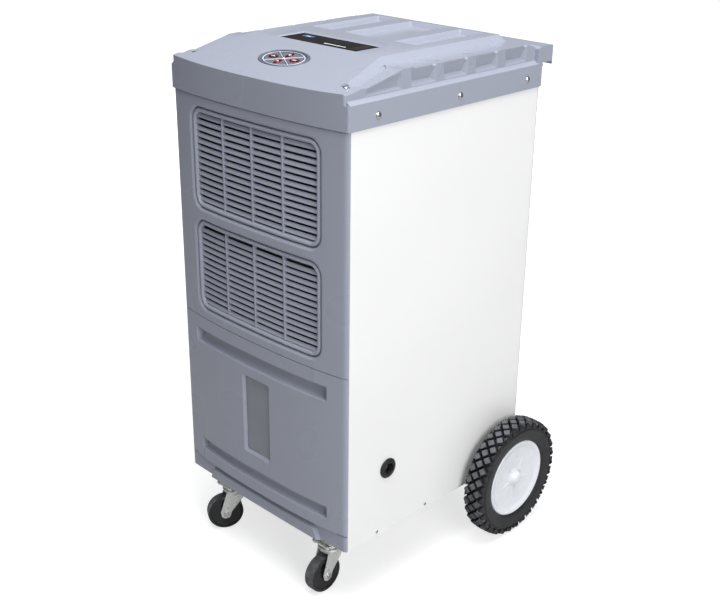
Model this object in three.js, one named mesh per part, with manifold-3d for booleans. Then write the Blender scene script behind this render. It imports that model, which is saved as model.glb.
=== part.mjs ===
// Upright commercial dehumidifier on two large rear wheels and two front swivel casters.
// Millimetres, +Z up, -Y is the front (the tank side), X = 0 is the middle of the cabinet.
// Every separate piece of the machine is one named mesh; pieces keep a small gap to each other.
import * as THREE from 'three';
import { mergeVertices } from 'three/addons/utils/BufferGeometryUtils.js';
import Module from 'manifold-3d';

const wasm = await Module();
wasm.setup();

// ---------------------------------------------------------------- driving dimensions
const SHIFT_Y = -23.5;          // puts the origin under the middle of the whole machine
const HALF_W = 227.5;         // cabinet half width over the side panels
const SHEET = 1.5;            // painted sheet steel
const BODY_FRONT = -247;      // front edge of the side panels
const BODY_BACK = 248;        // rear edge of the side panels
const BASE_Z = 131;           // underside of the cabinet
const PANEL_TOP = 962;        // side panels run up inside the cover skirt
const FRONT_EDGE = -253;      // front plane at the cabinet corners
const BOW = 16;               // how far the front bulges forward at the middle
const BOW_POWER = 2.6;
const SKIN = 3;               // moulded plastic wall
// front pieces, bottom to top
const SKIRT_Z = [132, 164];
const LIP = { half: 158, z0: 130.5, z1: 157, proud: 6.4 };
const SKIRT_BOW = 3.5;       // the skirt is nearly straight under the bulged tank front
const TANKFRONT_Z = [167, 490];
const FRONT_Z = [491.5, 927.5];
const WINDOW = { half: 176, r: 32, upper: [709, 914], lower: [504, 699] };
const LOUVRE = { half: 158, upper: [722, 900], lower: [517, 686], pitch: 12.4, slot: 5.4, rib: 79, ribW: 5 };
const PULL_UP = { half: 184, z0: 434, z1: 464 };
const PULL_LOW = { half: 184, z0: 190, z1: 216 };
const LEVEL = { half: 38, z0: 248, z1: 415 };
// top cover
const LID = { z0: 929, skirtTop: 972, ledgeTop: 978, half: 230.5, upperHalf: 222, front: -255, back: 254 };
const SHOULDER_Z = 1009.5;
const PLATEAU = { z: 1022, half: 163, y0: -114, y1: 203 };
const SLOPE = { y0: -256, z0: 990 };
const TROUGHS = [[-133, -80], [-45, 45], [80, 133]];
const TROUGH_Y = [8, 190];
const DISPLAY = { half: 97, y0: -107, y1: -47 };
const PANEL = { y: -185, r: 46, inner: 37, stretch: [1.21, 0.74, 1] };   // oval: wider than deep
const HANDLE = { y0: 240, y1: 287, z0: 967, z1: 1003, half: 229.8 };
// rear wheels
const WHEEL = { r: 127, rim: 82, width: 47, x: 242.5, y: 191, z: 127 };
const AXLE_R = 7.5;
// casters
const CASTER = { x: 145, y: -214, trail: 20, r: 37.5, width: 24, plateZ: [104, 107], turnLeft: -30, turnRight: 0 };
// inside
const TANK = { x0: -196, x1: 176, y0: -240, y1: -2, z0: 171, z1: 470, wall: 2.5 };
const DECK_Z = 494;
const BULKHEAD_Y = 8;
const FAN = { y: 150, z: 735, r: 128 };

// ---------------------------------------------------------------- helpers
const V2 = (x, y) => new THREE.Vector2(x, y);
const V3 = (x, y, z) => new THREE.Vector3(x, y, z);

function bow(x, edge = FRONT_EDGE, half = HALF_W, depth = BOW) {
  return edge - depth * (1 - Math.pow(Math.min(1, Math.abs(x) / half), BOW_POWER));
}

function solid(geometry, matrix = null) {
  let g = geometry.clone();
  for (const name of Object.keys(g.attributes)) if (name !== 'position') g.deleteAttribute(name);
  if (matrix) g.applyMatrix4(matrix);
  g = mergeVertices(g, 1e-4);
  const p = g.attributes.position.array;
  const t = Array.from(g.index.array);
  let volume = 0;
  for (let i = 0; i < t.length; i += 3) {
    const [a, b, c] = [t[i] * 3, t[i + 1] * 3, t[i + 2] * 3];
    volume += p[a] * (p[b + 1] * p[c + 2] - p[b + 2] * p[c + 1])
      - p[a + 1] * (p[b] * p[c + 2] - p[b + 2] * p[c])
      + p[a + 2] * (p[b] * p[c + 1] - p[b + 1] * p[c]);
  }
  if (volume < 0) for (let i = 0; i < t.length; i += 3) [t[i + 1], t[i + 2]] = [t[i + 2], t[i + 1]];
  const out = new wasm.Manifold(new wasm.Mesh({
    numProp: 3, vertProperties: new Float32Array(p), triVerts: new Uint32Array(t),
  }));
  return out;
}

function geometryOf(s) {
  const m = s.getMesh();
  const g = new THREE.BufferGeometry();
  g.setAttribute('position', new THREE.BufferAttribute(new Float32Array(m.vertProperties), 3));
  g.setIndex(Array.from(m.triVerts));
  g.computeVertexNormals();
  return g;
}

function box(x0, x1, y0, y1, z0, z1) {
  const g = new THREE.BoxGeometry(x1 - x0, y1 - y0, z1 - z0);
  g.translate((x0 + x1) / 2, (y0 + y1) / 2, (z0 + z1) / 2);
  return solid(g);
}

const shapeOf = (points) => new THREE.Shape(points.map(([a, b]) => V2(a, b)));
const extruded = (points, depth) =>
  new THREE.ExtrudeGeometry(shapeOf(points), { depth, bevelEnabled: false, curveSegments: 1 });
// holes run right through the piece
function pierced(make, points, a, b, holes) {
  let s = make(points, a, b);
  if (!holes || !holes.length) return s;
  let cut = make(holes[0], a - 1, b + 1);
  for (const h of holes.slice(1)) cut = cut.add(make(h, a - 1, b + 1));
  return s.subtract(cut);
}
// outline in (x, y), raised from z0 to z1
const prismZ = (points, z0, z1, holes) => pierced((p, a, b) =>
  solid(extruded(p, b - a), new THREE.Matrix4().makeTranslation(0, 0, a)), points, z0, z1, holes);
// outline in (y, z), drawn from x0 to x1
const prismX = (points, x0, x1, holes) => pierced((p, a, b) =>
  solid(extruded(p, b - a), new THREE.Matrix4().makeBasis(V3(0, 1, 0), V3(0, 0, 1), V3(1, 0, 0)).setPosition(a, 0, 0)), points, x0, x1, holes);
// outline in (x, z), drawn from y0 to y1
const prismY = (points, y0, y1, holes) => pierced((p, a, b) =>
  solid(extruded(p, b - a), new THREE.Matrix4().makeBasis(V3(1, 0, 0), V3(0, 0, 1), V3(0, -1, 0)).setPosition(0, b, 0)), points, y0, y1, holes);

const circle = (cx, cy, r, n = 24, phase = 0) =>
  Array.from({ length: n }, (_, i) => [cx + r * Math.cos(phase + 2 * Math.PI * i / n), cy + r * Math.sin(phase + 2 * Math.PI * i / n)]);
const rect = (a0, a1, b0, b1) => [[a0, b0], [a1, b0], [a1, b1], [a0, b1]];
function roundedRect(a0, a1, b0, b1, r, n = 4) {
  const out = [];
  const corner = (cx, cy, start) => {
    for (let i = 0; i <= n; i++) {
      const t = start + (Math.PI / 2) * i / n;
      out.push([cx + r * Math.cos(t), cy + r * Math.sin(t)]);
    }
  };
  corner(a1 - r, b1 - r, 0);
  corner(a0 + r, b1 - r, Math.PI / 2);
  corner(a0 + r, b0 + r, Math.PI);
  corner(a1 - r, b0 + r, 1.5 * Math.PI);
  return out;
}

// turned piece: profile of [radius, height] about +Z, closed on itself or on the axis
function turned(profile, segments = 24) {
  const pts = profile.map(([r, h]) => V2(r, h));
  const onAxis = profile[0][0] === 0 && profile[profile.length - 1][0] === 0;
  if (!onAxis) pts.push(pts[0].clone());
  const g = new THREE.LatheGeometry(pts, segments);
  g.deleteAttribute('uv'); g.deleteAttribute('normal');
  return solid(dropSlivers(g), new THREE.Matrix4().makeRotationX(Math.PI / 2));
}
function dropSlivers(geometry) {
  const g = mergeVertices(geometry, 1e-4);
  const kept = [];
  const t = g.index.array;
  for (let i = 0; i < t.length; i += 3) {
    if (t[i] !== t[i + 1] && t[i + 1] !== t[i + 2] && t[i] !== t[i + 2]) kept.push(t[i], t[i + 1], t[i + 2]);
  }
  g.setIndex(kept);
  return g;
}
const moved = (s, x, y, z) => s.translate([x, y, z]);
const turnedX = (s) => s.rotate([0, 90, 0]);     // +Z axis to +X
const turnedY = (s) => s.rotate([-90, 0, 0]);    // +Z axis to +Y

function tube(points, radius, sides = 8, steps = 24, tension = 0.5) {
  const curve = new THREE.CatmullRomCurve3(points.map((p) => V3(...p)), false, 'catmullrom', tension);
  return solid(new THREE.ExtrudeGeometry(shapeOf(circle(0, 0, radius, sides)), { steps, bevelEnabled: false, extrudePath: curve }));
}

// slab that follows the bowed front: outline between the outer bow and its inner copy
function bowedOutline({ half = HALF_W, edge = FRONT_EDGE, back = BODY_FRONT - 0.4, skin = SKIN, n = 12, corner = 4, rear = null, bowHalf = HALF_W, depth = BOW }) {
  const outer = [[-half, back], [-half, bow(half - corner, edge, bowHalf, depth) + corner * 0.8]];
  for (let i = 0; i <= n; i++) {
    const x = -(half - corner) + 2 * (half - corner) * i / n;
    outer.push([x, bow(x, edge, bowHalf, depth)]);
  }
  outer.push([half, bow(half - corner, edge, bowHalf, depth) + corner * 0.8], [half, back]);
  if (rear !== null) return outer.concat([[half, rear], [-half, rear]]);
  const inner = [];
  const hi = half - skin;
  inner.push([hi, back]);
  for (let i = n; i >= 0; i--) {
    const x = -hi + 2 * hi * i / n;
    inner.push([x, bow(x, edge, bowHalf, depth) + skin + (i === 0 || i === n ? 1.5 : 0)]);
  }
  inner.push([-hi, back]);
  return outer.concat(inner);
}
// strip following the bow, for inserts that sit inside the front
function bowedStrip(xs, front, back) {
  const a = xs.map((x) => [x, bow(x) + front]);
  const b = xs.slice().reverse().map((x) => [x, bow(x) + back]);
  return a.concat(b);
}
const linspace = (a, b, n) => Array.from({ length: n + 1 }, (_, i) => a + (b - a) * i / n);

// ---------------------------------------------------------------- materials
const mat = (color, roughness = 0.6, metalness = 0) => new THREE.MeshStandardMaterial({ color, roughness, metalness });
const PLASTIC = () => mat(0x9aa0b0, 0.42);
const WHITE = () => mat(0xf0f0ee, 0.45);
const ZINC = () => mat(0xb9bdbb, 0.35, 0.9);
const STEEL = () => mat(0x9a9c9e, 0.4, 0.9);
const RUBBER = () => mat(0x1c1c1e, 0.85);
const BLACK = () => mat(0x141416, 0.4);
const COPPER = () => mat(0xb5713f, 0.35, 0.9);
const FINS = () => mat(0xc2c6c9, 0.45, 0.8);

const machine = new THREE.Group();
machine.position.y = SHIFT_Y;
function add(name, s, material, parent = machine) {
  const m = new THREE.Mesh(geometryOf(s), material);
  m.name = name;
  parent.add(m);
  return m;
}

// ---------------------------------------------------------------- chassis
// pressed tray with a raised channel across it for the axle
{
  const t = 2;
  const yf = -246, yb = 246, c0 = WHEEL.y - 16, c1 = WHEEL.y + 16, up = 16;
  const profile = [
    [yf, BASE_Z], [c0, BASE_Z], [c0, BASE_Z + up], [c1, BASE_Z + up], [c1, BASE_Z], [yb, BASE_Z], [yb, 157],
    [yb - t, 157], [yb - t, BASE_Z + t], [c1 + t, BASE_Z + t], [c1 + t, BASE_Z + up + t], [c0 - t, BASE_Z + up + t],
    [c0 - t, BASE_Z + t], [yf + t, BASE_Z + t], [yf + t, 157], [yf, 157],
  ];
  let tray = prismX(profile, -225.4, 225.4);
  // two folded runners carry the water tank
  for (const x of [-150, 130]) tray = tray.add(prismY([[x - 14, BASE_Z + 1], [x - 14, 170.6], [x + 14, 170.6], [x + 14, BASE_Z + 1], [x + 12.5, BASE_Z + 1], [x + 12.5, 169.1], [x - 12.5, 169.1], [x - 12.5, BASE_Z + 1]], -238, -6));
  add('base_tray', tray, STEEL());
}
// side panels: flat sheets with folded front and rear edges
for (const side of [1, -1]) {
  const o = HALF_W, i = HALF_W - SHEET, f = 12;
  const zb = BASE_Z;
  const plan = [
    [o - f, BODY_FRONT], [o, BODY_FRONT], [o, BODY_BACK], [o - f, BODY_BACK], [o - f, BODY_BACK - SHEET],
    [i, BODY_BACK - SHEET], [i, BODY_FRONT + SHEET], [o - f, BODY_FRONT + SHEET],
  ].map(([x, y]) => [x * side, y]);
  let p = prismZ(side > 0 ? plan : plan.reverse(), zb, PANEL_TOP);
  // the folded edges stop above the tray, which is as wide as the space between the sheets
  p = p.subtract(box(side > 0 ? 200 : -i, side > 0 ? i : -200, -250, 251, zb - 1, 158));
  // notch over the axle
  p = p.subtract(box(side * 227 - 4, side * 227 + 4, WHEEL.y - 10, WHEEL.y + 10, zb - 1, 137.5));
  if (side > 0) p = p.subtract(moved(turnedX(turned([[0, 0], [16.4, 0], [16.4, 10], [0, 10]], 20)), 220, -144.5, 270));
  add(side > 0 ? 'right_side_panel' : 'left_side_panel', p, WHITE());
}
// rear sheet with the air outlet slots and the hole of the cord gland
{
  const holes = [];
  for (let k = 0; k < 13; k++) {
    const z = 640 + k * 16;
    const half = Math.min(120, Math.sqrt(Math.max(0, 122 ** 2 - (z + 3.5 - FAN.z) ** 2)));
    holes.push(rect(-half, half, z, z + 7));
  }
  holes.push(circle(150, 215, 11.6, 8, 0));
  add('rear_panel', prismY(rect(-227, 227, BASE_Z, PANEL_TOP), 248.3, 248.3 + SHEET, holes), WHITE());
}
// deck over the tank bay, bent down into the bulkhead behind it
{
  const t = 1.5;
  let p = prismX([
    [-243, DECK_Z - 14], [-243, DECK_Z], [BULKHEAD_Y, DECK_Z], [BULKHEAD_Y, 134], [BULKHEAD_Y - t, 134],
    [BULKHEAD_Y - t, DECK_Z - t], [-243 + t, DECK_Z - t], [-243 + t, DECK_Z - 14],
  ], -225.4, 225.4);
  p = p.subtract(moved(turned([[0, 0], [9, 0], [9, 20], [0, 20]], 12), 0, -130, DECK_Z - 10));
  p = p.subtract(moved(turned([[0, 0], [9, 0], [9, 20], [0, 20]], 12), 196, -130, DECK_Z - 10));
  p = p.subtract(box(-213, -211, -244.5, -241, DECK_Z - 20, DECK_Z + 1));
  add('partition_deck', p, STEEL());
}
// plastic skirt under the tank front, with a proud lip
{
  let p = prismZ(bowedOutline({ depth: SKIRT_BOW }), SKIRT_Z[0], SKIRT_Z[1]);
  const edge = (x) => bow(x, FRONT_EDGE, HALF_W, SKIRT_BOW);
  const xs = linspace(-LIP.half, LIP.half, 10);
  const lip = xs.map((x) => [x, edge(x) - LIP.proud * (Math.abs(x) > LIP.half - 1 ? 0.55 : 1)]).concat(xs.slice().reverse().map((x) => [x, edge(x) + 1.5]));
  p = p.add(prismZ(lip, LIP.z0, LIP.z1));
  add('base_skirt', p, PLASTIC());
}

// ---------------------------------------------------------------- top cover
const slopeTan = (PLATEAU.z - SLOPE.z0) / (PLATEAU.y0 - SLOPE.y0);
const slopeZ = (y) => SLOPE.z0 + (y - SLOPE.y0) * slopeTan;
const SLOPE_ANGLE = Math.atan(slopeTan);
{
  const lidOutline = (half, extra = 0) => bowedOutline({ half: half - extra, edge: LID.front + extra, bowHalf: LID.half, rear: LID.back - extra, back: -240, corner: 5 });
  let s = prismZ(lidOutline(LID.half), LID.z0, LID.skirtTop);
  s = s.add(prismY([[-LID.half, LID.skirtTop - 6], [LID.half, LID.skirtTop - 6], [LID.half, LID.skirtTop], [LID.upperHalf, LID.ledgeTop], [-LID.upperHalf, LID.ledgeTop], [-LID.half, LID.skirtTop]], -253, LID.back));
  // shoulders along both sides
  const shoulder = [[-280, 960], [-280, 985], [-250, 988], [-240, 988.5], [-217, 993.5], [-205, 992.5], [-136, 1008], [-123, 1011.5], [-98, 1011.5], [-93, SHOULDER_Z], [215, SHOULDER_Z], [240, 1001], [250, 1001], [250, 960]];
  const upperPlan = prismZ(lidOutline(LID.upperHalf), 960, 1040);
  s = s.add(prismX(shoulder, -LID.upperHalf, LID.upperHalf).intersect(upperPlan));
  // middle: front slope that narrows towards the plateau, then the plateau
  const slopeProfile = prismX([[-280, 960], [-280, slopeZ(-280)], [PLATEAU.y0, PLATEAU.z], [PLATEAU.y1, PLATEAU.z], [PLATEAU.y1 + 9, SHOULDER_Z - 2], [PLATEAU.y1 + 9, 960]], -LID.upperHalf, LID.upperHalf);
  const ridge = [[-222, -285], [222, -285], [222, -246], [198, -234], [PLATEAU.half + 4, PLATEAU.y0], [PLATEAU.half + 4, 230], [-PLATEAU.half - 4, 230], [-PLATEAU.half - 4, PLATEAU.y0], [-198, -234], [-222, -246]];
  s = s.add(slopeProfile.intersect(prismZ(ridge, 960, 1040)).intersect(upperPlan));
  // rear pull handle across the back
  s = s.add(prismX([[HANDLE.y0 - 2, 973], [HANDLE.y0 - 2, 999], [HANDLE.y0 + 6, HANDLE.z1], [HANDLE.y1 - 6, HANDLE.z1], [HANDLE.y1, HANDLE.z1 - 6], [HANDLE.y1, HANDLE.z0 + 3], [HANDLE.y1 - 3, HANDLE.z0], [HANDLE.y1 - 6, HANDLE.z0], [HANDLE.y1 - 6, 973]], -HANDLE.half, HANDLE.half));
  // hollow underneath
  s = s.subtract(prismZ(lidOutline(228.1, 0).map(([x, y]) => [x, Math.min(251.2, y < -200 ? y + 4.5 : y)]), LID.z0 - 1, 971));
  s = s.subtract(prismX([[-247, 960], [-247, 985], [-225, 987.5], [-128, 1005.3], [212, 1005.3], [236, 998], [236, 960]], -209, 209));
  s = s.subtract(prismX([[PLATEAU.y0 + 12, 990], [PLATEAU.y0 + 12, 1008], [PLATEAU.y1 - 6, 1008], [PLATEAU.y1 - 6, 990]], -155, 155));
  // finger channel of the rear handle
  s = s.subtract(box(-212, 212, LID.back + 0.2, HANDLE.y1 - 5, 950, 997));
  // pockets moulded into the outer walls of the shoulders
  for (const side of [1, -1]) {
    for (const [y0, y1] of [[-102, -43], [-19, 40], [66, 123], [149, 208]]) {
      const pts = [[223, 980], [214.5, 988], [218, 1004], [223, 1004]].map(([x, z]) => [x * side, z]);
      s = s.subtract(prismY(side > 0 ? pts : pts.reverse(), y0, y1));
    }
    const wedge = [[-209, 979], [-130, 979], [-130, 1000], [-209, 984]];
    s = s.subtract(side > 0 ? prismX(wedge, 217, 224) : prismX(wedge, -224, -217));
  }
  // cooling-style troughs on the plateau and the recess of the display
  for (const [x0, x1] of TROUGHS) {
    s = s.subtract(prismX([[TROUGH_Y[0], PLATEAU.z + 1], [TROUGH_Y[0] + 8, PLATEAU.z - 9], [TROUGH_Y[1] - 8, PLATEAU.z - 9], [TROUGH_Y[1], PLATEAU.z + 1]], x0, x1));
  }
  s = s.subtract(box(-DISPLAY.half - 3, DISPLAY.half + 3, DISPLAY.y0 - 3, DISPLAY.y1 + 3, PLATEAU.z - 5, PLATEAU.z + 5));
  // oval opening of the control panel, square to the slope
  const hole = turned([[0, -40], [PANEL.r + 0.55, -40], [PANEL.r + 0.55, 30], [0, 30]], 32).scale(PANEL.stretch).rotate([SLOPE_ANGLE * 180 / Math.PI, 0, 0]);
  s = s.subtract(moved(hole, 0, PANEL.y, slopeZ(PANEL.y)));
  add('top_cover', s, PLASTIC());
}
// control panel, tilted with the slope
const panel = new THREE.Group();
panel.position.set(0, PANEL.y, slopeZ(PANEL.y));
panel.rotation.x = SLOPE_ANGLE;
machine.add(panel);
const SECTORS = { front_button: [226, 314], rear_button: [46, 134], right_button: [-44, 44], left_button: [136, 224] };
function sector(a0, a1, r0, r1, inset, n = 5) {
  // pie slice with its straight sides moved in by inset
  const rad = Math.PI / 180;
  const shift = inset / Math.sin((a1 - a0) * rad / 2);
  const mid = (a0 + a1) / 2 * rad;
  const apex = [shift * Math.cos(mid) + r0 * Math.cos(mid), shift * Math.sin(mid) + r0 * Math.sin(mid)];
  const pts = [apex];
  const d = Math.asin(inset / r1) / rad;
  for (let i = 0; i <= n; i++) {
    const t = (a0 + d + (a1 - a0 - 2 * d) * i / n) * rad;
    pts.push([r1 * Math.cos(t), r1 * Math.sin(t)]);
  }
  return pts;
}
{
  let b = turned([[0, -5], [PANEL.r, -5], [PANEL.r, 0], [PANEL.r - 1.5, 0.6], [PANEL.r - 4, 0.4], [PANEL.inner + 3, -1.6], [0, -1.6]], 32);
  for (const a of Object.values(SECTORS)) b = b.subtract(prismZ(sector(a[0], a[1], 0, PANEL.inner - 2, 1.4), -10, 5));
  add('control_bezel', b.scale(PANEL.stretch), mat(0x858c9a, 0.5), panel);
  for (const [name, a] of Object.entries(SECTORS)) {
    add(name, prismZ(sector(a[0], a[1], 0.4, PANEL.inner - 2.5, 1.9), -6.5, -1.2).scale(PANEL.stretch), mat(0x8f96a4, 0.5), panel);
  }
}
add('display_lens', box(-DISPLAY.half, DISPLAY.half, DISPLAY.y0, DISPLAY.y1, PLATEAU.z - 4.7, PLATEAU.z - 1.5), mat(0x120d10, 0.12));
add('control_board', box(-110, 110, -100, -20, 985, 986.6).add(box(-40, 0, -80, -50, 986, 996)).add(box(30, 60, -85, -55, 986, 994)), mat(0x2e6b3c, 0.6));

// ---------------------------------------------------------------- front pieces
{
  let p = prismZ(bowedOutline({}), FRONT_Z[0], FRONT_Z[1]);
  for (const [z0, z1] of [WINDOW.upper, WINDOW.lower]) p = p.subtract(prismY(roundedRect(-WINDOW.half, WINDOW.half, z0, z1, WINDOW.r), -290, -240));
  add('front_panel', p, PLASTIC());
  for (const [name, [z0, z1], [l0, l1]] of [['upper_grille', WINDOW.upper, LOUVRE.upper], ['lower_grille', WINDOW.lower, LOUVRE.lower]]) {
    const holes = [];
    const cols = [-LOUVRE.half, -LOUVRE.rib, 0, LOUVRE.rib, LOUVRE.half];
    const rows = Math.floor((l1 - l0) / LOUVRE.pitch);
    for (let r = 0; r < rows; r++) {
      const z = l0 + 4 + r * LOUVRE.pitch;
      for (let c = 0; c < 4; c++) holes.push(rect(cols[c] + LOUVRE.ribW / 2 + 1, cols[c + 1] - LOUVRE.ribW / 2 - 1, z, z + LOUVRE.slot));
    }
    // plan of flat stretches between the ribs; the slots are cut straight through them
    const xs = [-WINDOW.half + 0.6, ...cols, WINDOW.half - 0.6];
    let g = prismZ(bowedStrip(xs, 1.2, 4.2), z0 + 0.5, z1 - 0.5);
    g = g.intersect(prismY(roundedRect(-WINDOW.half + 0.5, WINDOW.half - 0.5, z0 + 0.5, z1 - 0.5, WINDOW.r - 0.5), -290, -230));
    let cut = null;
    for (const h of holes) {
      const c = prismY(h, -285, -235);
      cut = cut ? cut.add(c) : c;
    }
    add(name, g.subtract(cut), PLASTIC());
  }
}
{
  const holes = [];
  for (const [z0, z1] of [[512, 702], [708, 898]]) for (const x of [-165, -81.5, 2, 85.5]) holes.push(rect(x, x + 79.5, z0, z1));
  add('air_filter', prismY(rect(-171, 171, 506, 904), -240, -236, holes), mat(0x2b2d30, 0.8));
}
// tank front: bowed cover with two long finger pulls and the slot of the level window
{
  const [z0, z1] = TANKFRONT_Z;
  let p = prismZ(bowedOutline({}), z0, z1);
  const back = (a, za, zb) => prismZ(linspace(-a, a, 8).map((x) => [x, bow(x) + 1]).concat([[a, -243.5], [-a, -243.5]]), za, zb);
  p = p.add(back(PULL_UP.half + 4, PULL_UP.z0 - 5, PULL_UP.z1 + 5));
  p = p.add(back(PULL_LOW.half + 4, PULL_LOW.z0 - 5, PULL_LOW.z1 + 5));
  const pocket = (a, za, zb) => {
    const xs = linspace(-a, a, 8);
    const front = prismZ(xs.map((x) => [x, bow(x) - 4]).concat(xs.slice().reverse().map((x) => [x, -246.5])), za, zb);
    return front;
  };
  p = p.subtract(pocket(PULL_UP.half, PULL_UP.z0, PULL_UP.z1)).subtract(pocket(PULL_LOW.half, PULL_LOW.z0, PULL_LOW.z1));
  p = p.subtract(prismY(roundedRect(-LEVEL.half, LEVEL.half, LEVEL.z0, LEVEL.z1, 3, 2), -290, -240));
  add('tank_front', p, PLASTIC());
  add('level_window', prismY(roundedRect(-LEVEL.half + 0.5, LEVEL.half - 0.5, LEVEL.z0 + 0.5, LEVEL.z1 - 0.5, 2.5, 2), -265, -262.5), new THREE.MeshStandardMaterial({ color: 0x8d929b, roughness: 0.3, transparent: true, opacity: 0.8 }));
}

// ---------------------------------------------------------------- water tank
{
  const t = TANK, w = t.wall;
  let p = prismZ(roundedRect(t.x0, t.x1, t.y0, t.y1, 14, 3), t.z0, t.z1);
  p = p.subtract(prismZ(roundedRect(t.x0 + w, t.x1 - w, t.y0 + w, t.y1 - w, 11.5, 3), t.z0 + w, t.z1 + 5));
  // hinge ears of the float
  for (const x of [-118, -92]) p = p.add(prismX([[-22, 412], [-4, 412], [-4, 432], [-22, 432]], x, x + 4, [circle(-14, 422, 3.6, 8)]));
  add('water_tank', p, mat(0xdfe3e6, 0.35));
  // float: pin, arm and block hanging into the tank
  let f = moved(turnedX(turned([[0, 0], [3, 0], [3, 30], [0, 30]], 8)), -118, -14, 422);
  f = f.add(box(-110, -98, -18, -11, 352, 424)).add(box(-128, -80, -34, -9.5, 318, 354));
  add('tank_float', f, mat(0xe8e2cf, 0.7));
}

// ---------------------------------------------------------------- refrigeration and air path
function coil(y0, y1) {
  let c = box(-172, 172, y0, y1, 512, 905);
  c = c.add(box(-176, -174, y0 - 3, y1 + 3, 508, 908)).add(box(174, 176, y0 - 3, y1 + 3, 508, 908));
  c = c.add(box(-174.5, -171, y0 + 5, y1 - 5, 520, 900)).add(box(171, 174.5, y0 + 5, y1 - 5, 520, 900));
  // return bends gathered along the right end plate
  for (let k = 0; k < 3; k++) {
    const z = 560 + k * 120;
    c = c.add(box(175.5, 190, (y0 + y1) / 2 - 6, (y0 + y1) / 2 + 6, z, z + 60));
  }
  return c;
}
add('evaporator', coil(-222, -180), FINS());
add('condenser', coil(-160, -112), FINS());
{
  let t = box(-182, 182, -228, -105, 497, 509);
  t = t.subtract(box(-180.3, 180.3, -226.3, -106.7, 498.7, 510));
  t = t.add(moved(turned([[4.5, -26], [7.5, -26], [7.5, 2], [4.5, 2]], 12), 0, -130, 497));
  t = t.subtract(moved(turned([[0, -30], [4.5, -30], [4.5, 10], [0, 10]], 12), 0, -130, 497));
  t = t.subtract(box(-181, -174, -228, -177, 507, 509.5)).subtract(box(174, 181, -228, -105, 507.5, 509.5));
  add('drip_tray', t, mat(0xd8dadc, 0.6));
}
// the coils stand on the tray floor: trim their end plates clear of it is done by their z range (508 up)
// hose from the tray side down to the wall outlet
add('drain_hose', tube([[196, -130, 512], [196, -130, 480], [199, -132, 420], [200, -138, 340], [200, -144, 292], [203, -144.5, 276], [212, -144.5, 270], [221, -144.5, 270]], 7, 8, 18), mat(0xe4e6e4, 0.4));
add('drain_outlet', moved(turnedX(turned([[10.5, -5], [18, -5], [18, -2.2], [16, -2.2], [16, 0.4], [20, 0.4], [20, 3.5], [17.5, 6], [12, 6], [10.5, 4.5]], 16)), 227.5, -144.5, 270), RUBBER());
// compressor with its foot plate and three rubber mounts
{
  let c = turned([[0, 158], [40, 158], [62, 172], [66, 190], [66, 360], [60, 382], [36, 396], [0, 398]], 16);
  c = moved(c, -70, 95, 0);
  const feet = prismZ([[-150, 45], [-125, 20], [-15, 20], [10, 45], [-45, 168], [-95, 168]], 155, 159);
  c = c.add(feet);
  c = c.add(moved(turned([[0, 392], [8, 392], [8, 412], [0, 412]], 8), -70, 95, 0));
  add('compressor', c, BLACK());
  [[-128, 38], [-12, 38], [-70, 158]].forEach(([x, y], i) => add(`compressor_mount_${i + 1}`, moved(turned([[0, 133.4], [12, 133.4], [12, 154.6], [0, 154.6]], 10), x, y, 0), RUBBER()));
}
add('discharge_pipe', tube([[-70, 95, 412.6], [-70, 95, 450], [-110, 60, 480], [-168, 20, 500], [-196, -40, 520], [-196, -110, 530], [-190, -136, 545], [-177, -136, 546]], 5, 6, 24), COPPER());
add('suction_pipe', tube([[-184, -201, 560], [-200, -196, 560], [-209, -140, 556], [-209, -40, 545], [-200, 30, 520], [-176, 70, 470], [-160, 95, 420], [-154, 95, 330], [-152, 95, 262], [-143.6, 95, 240]], 6, 6, 28), COPPER());
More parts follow.
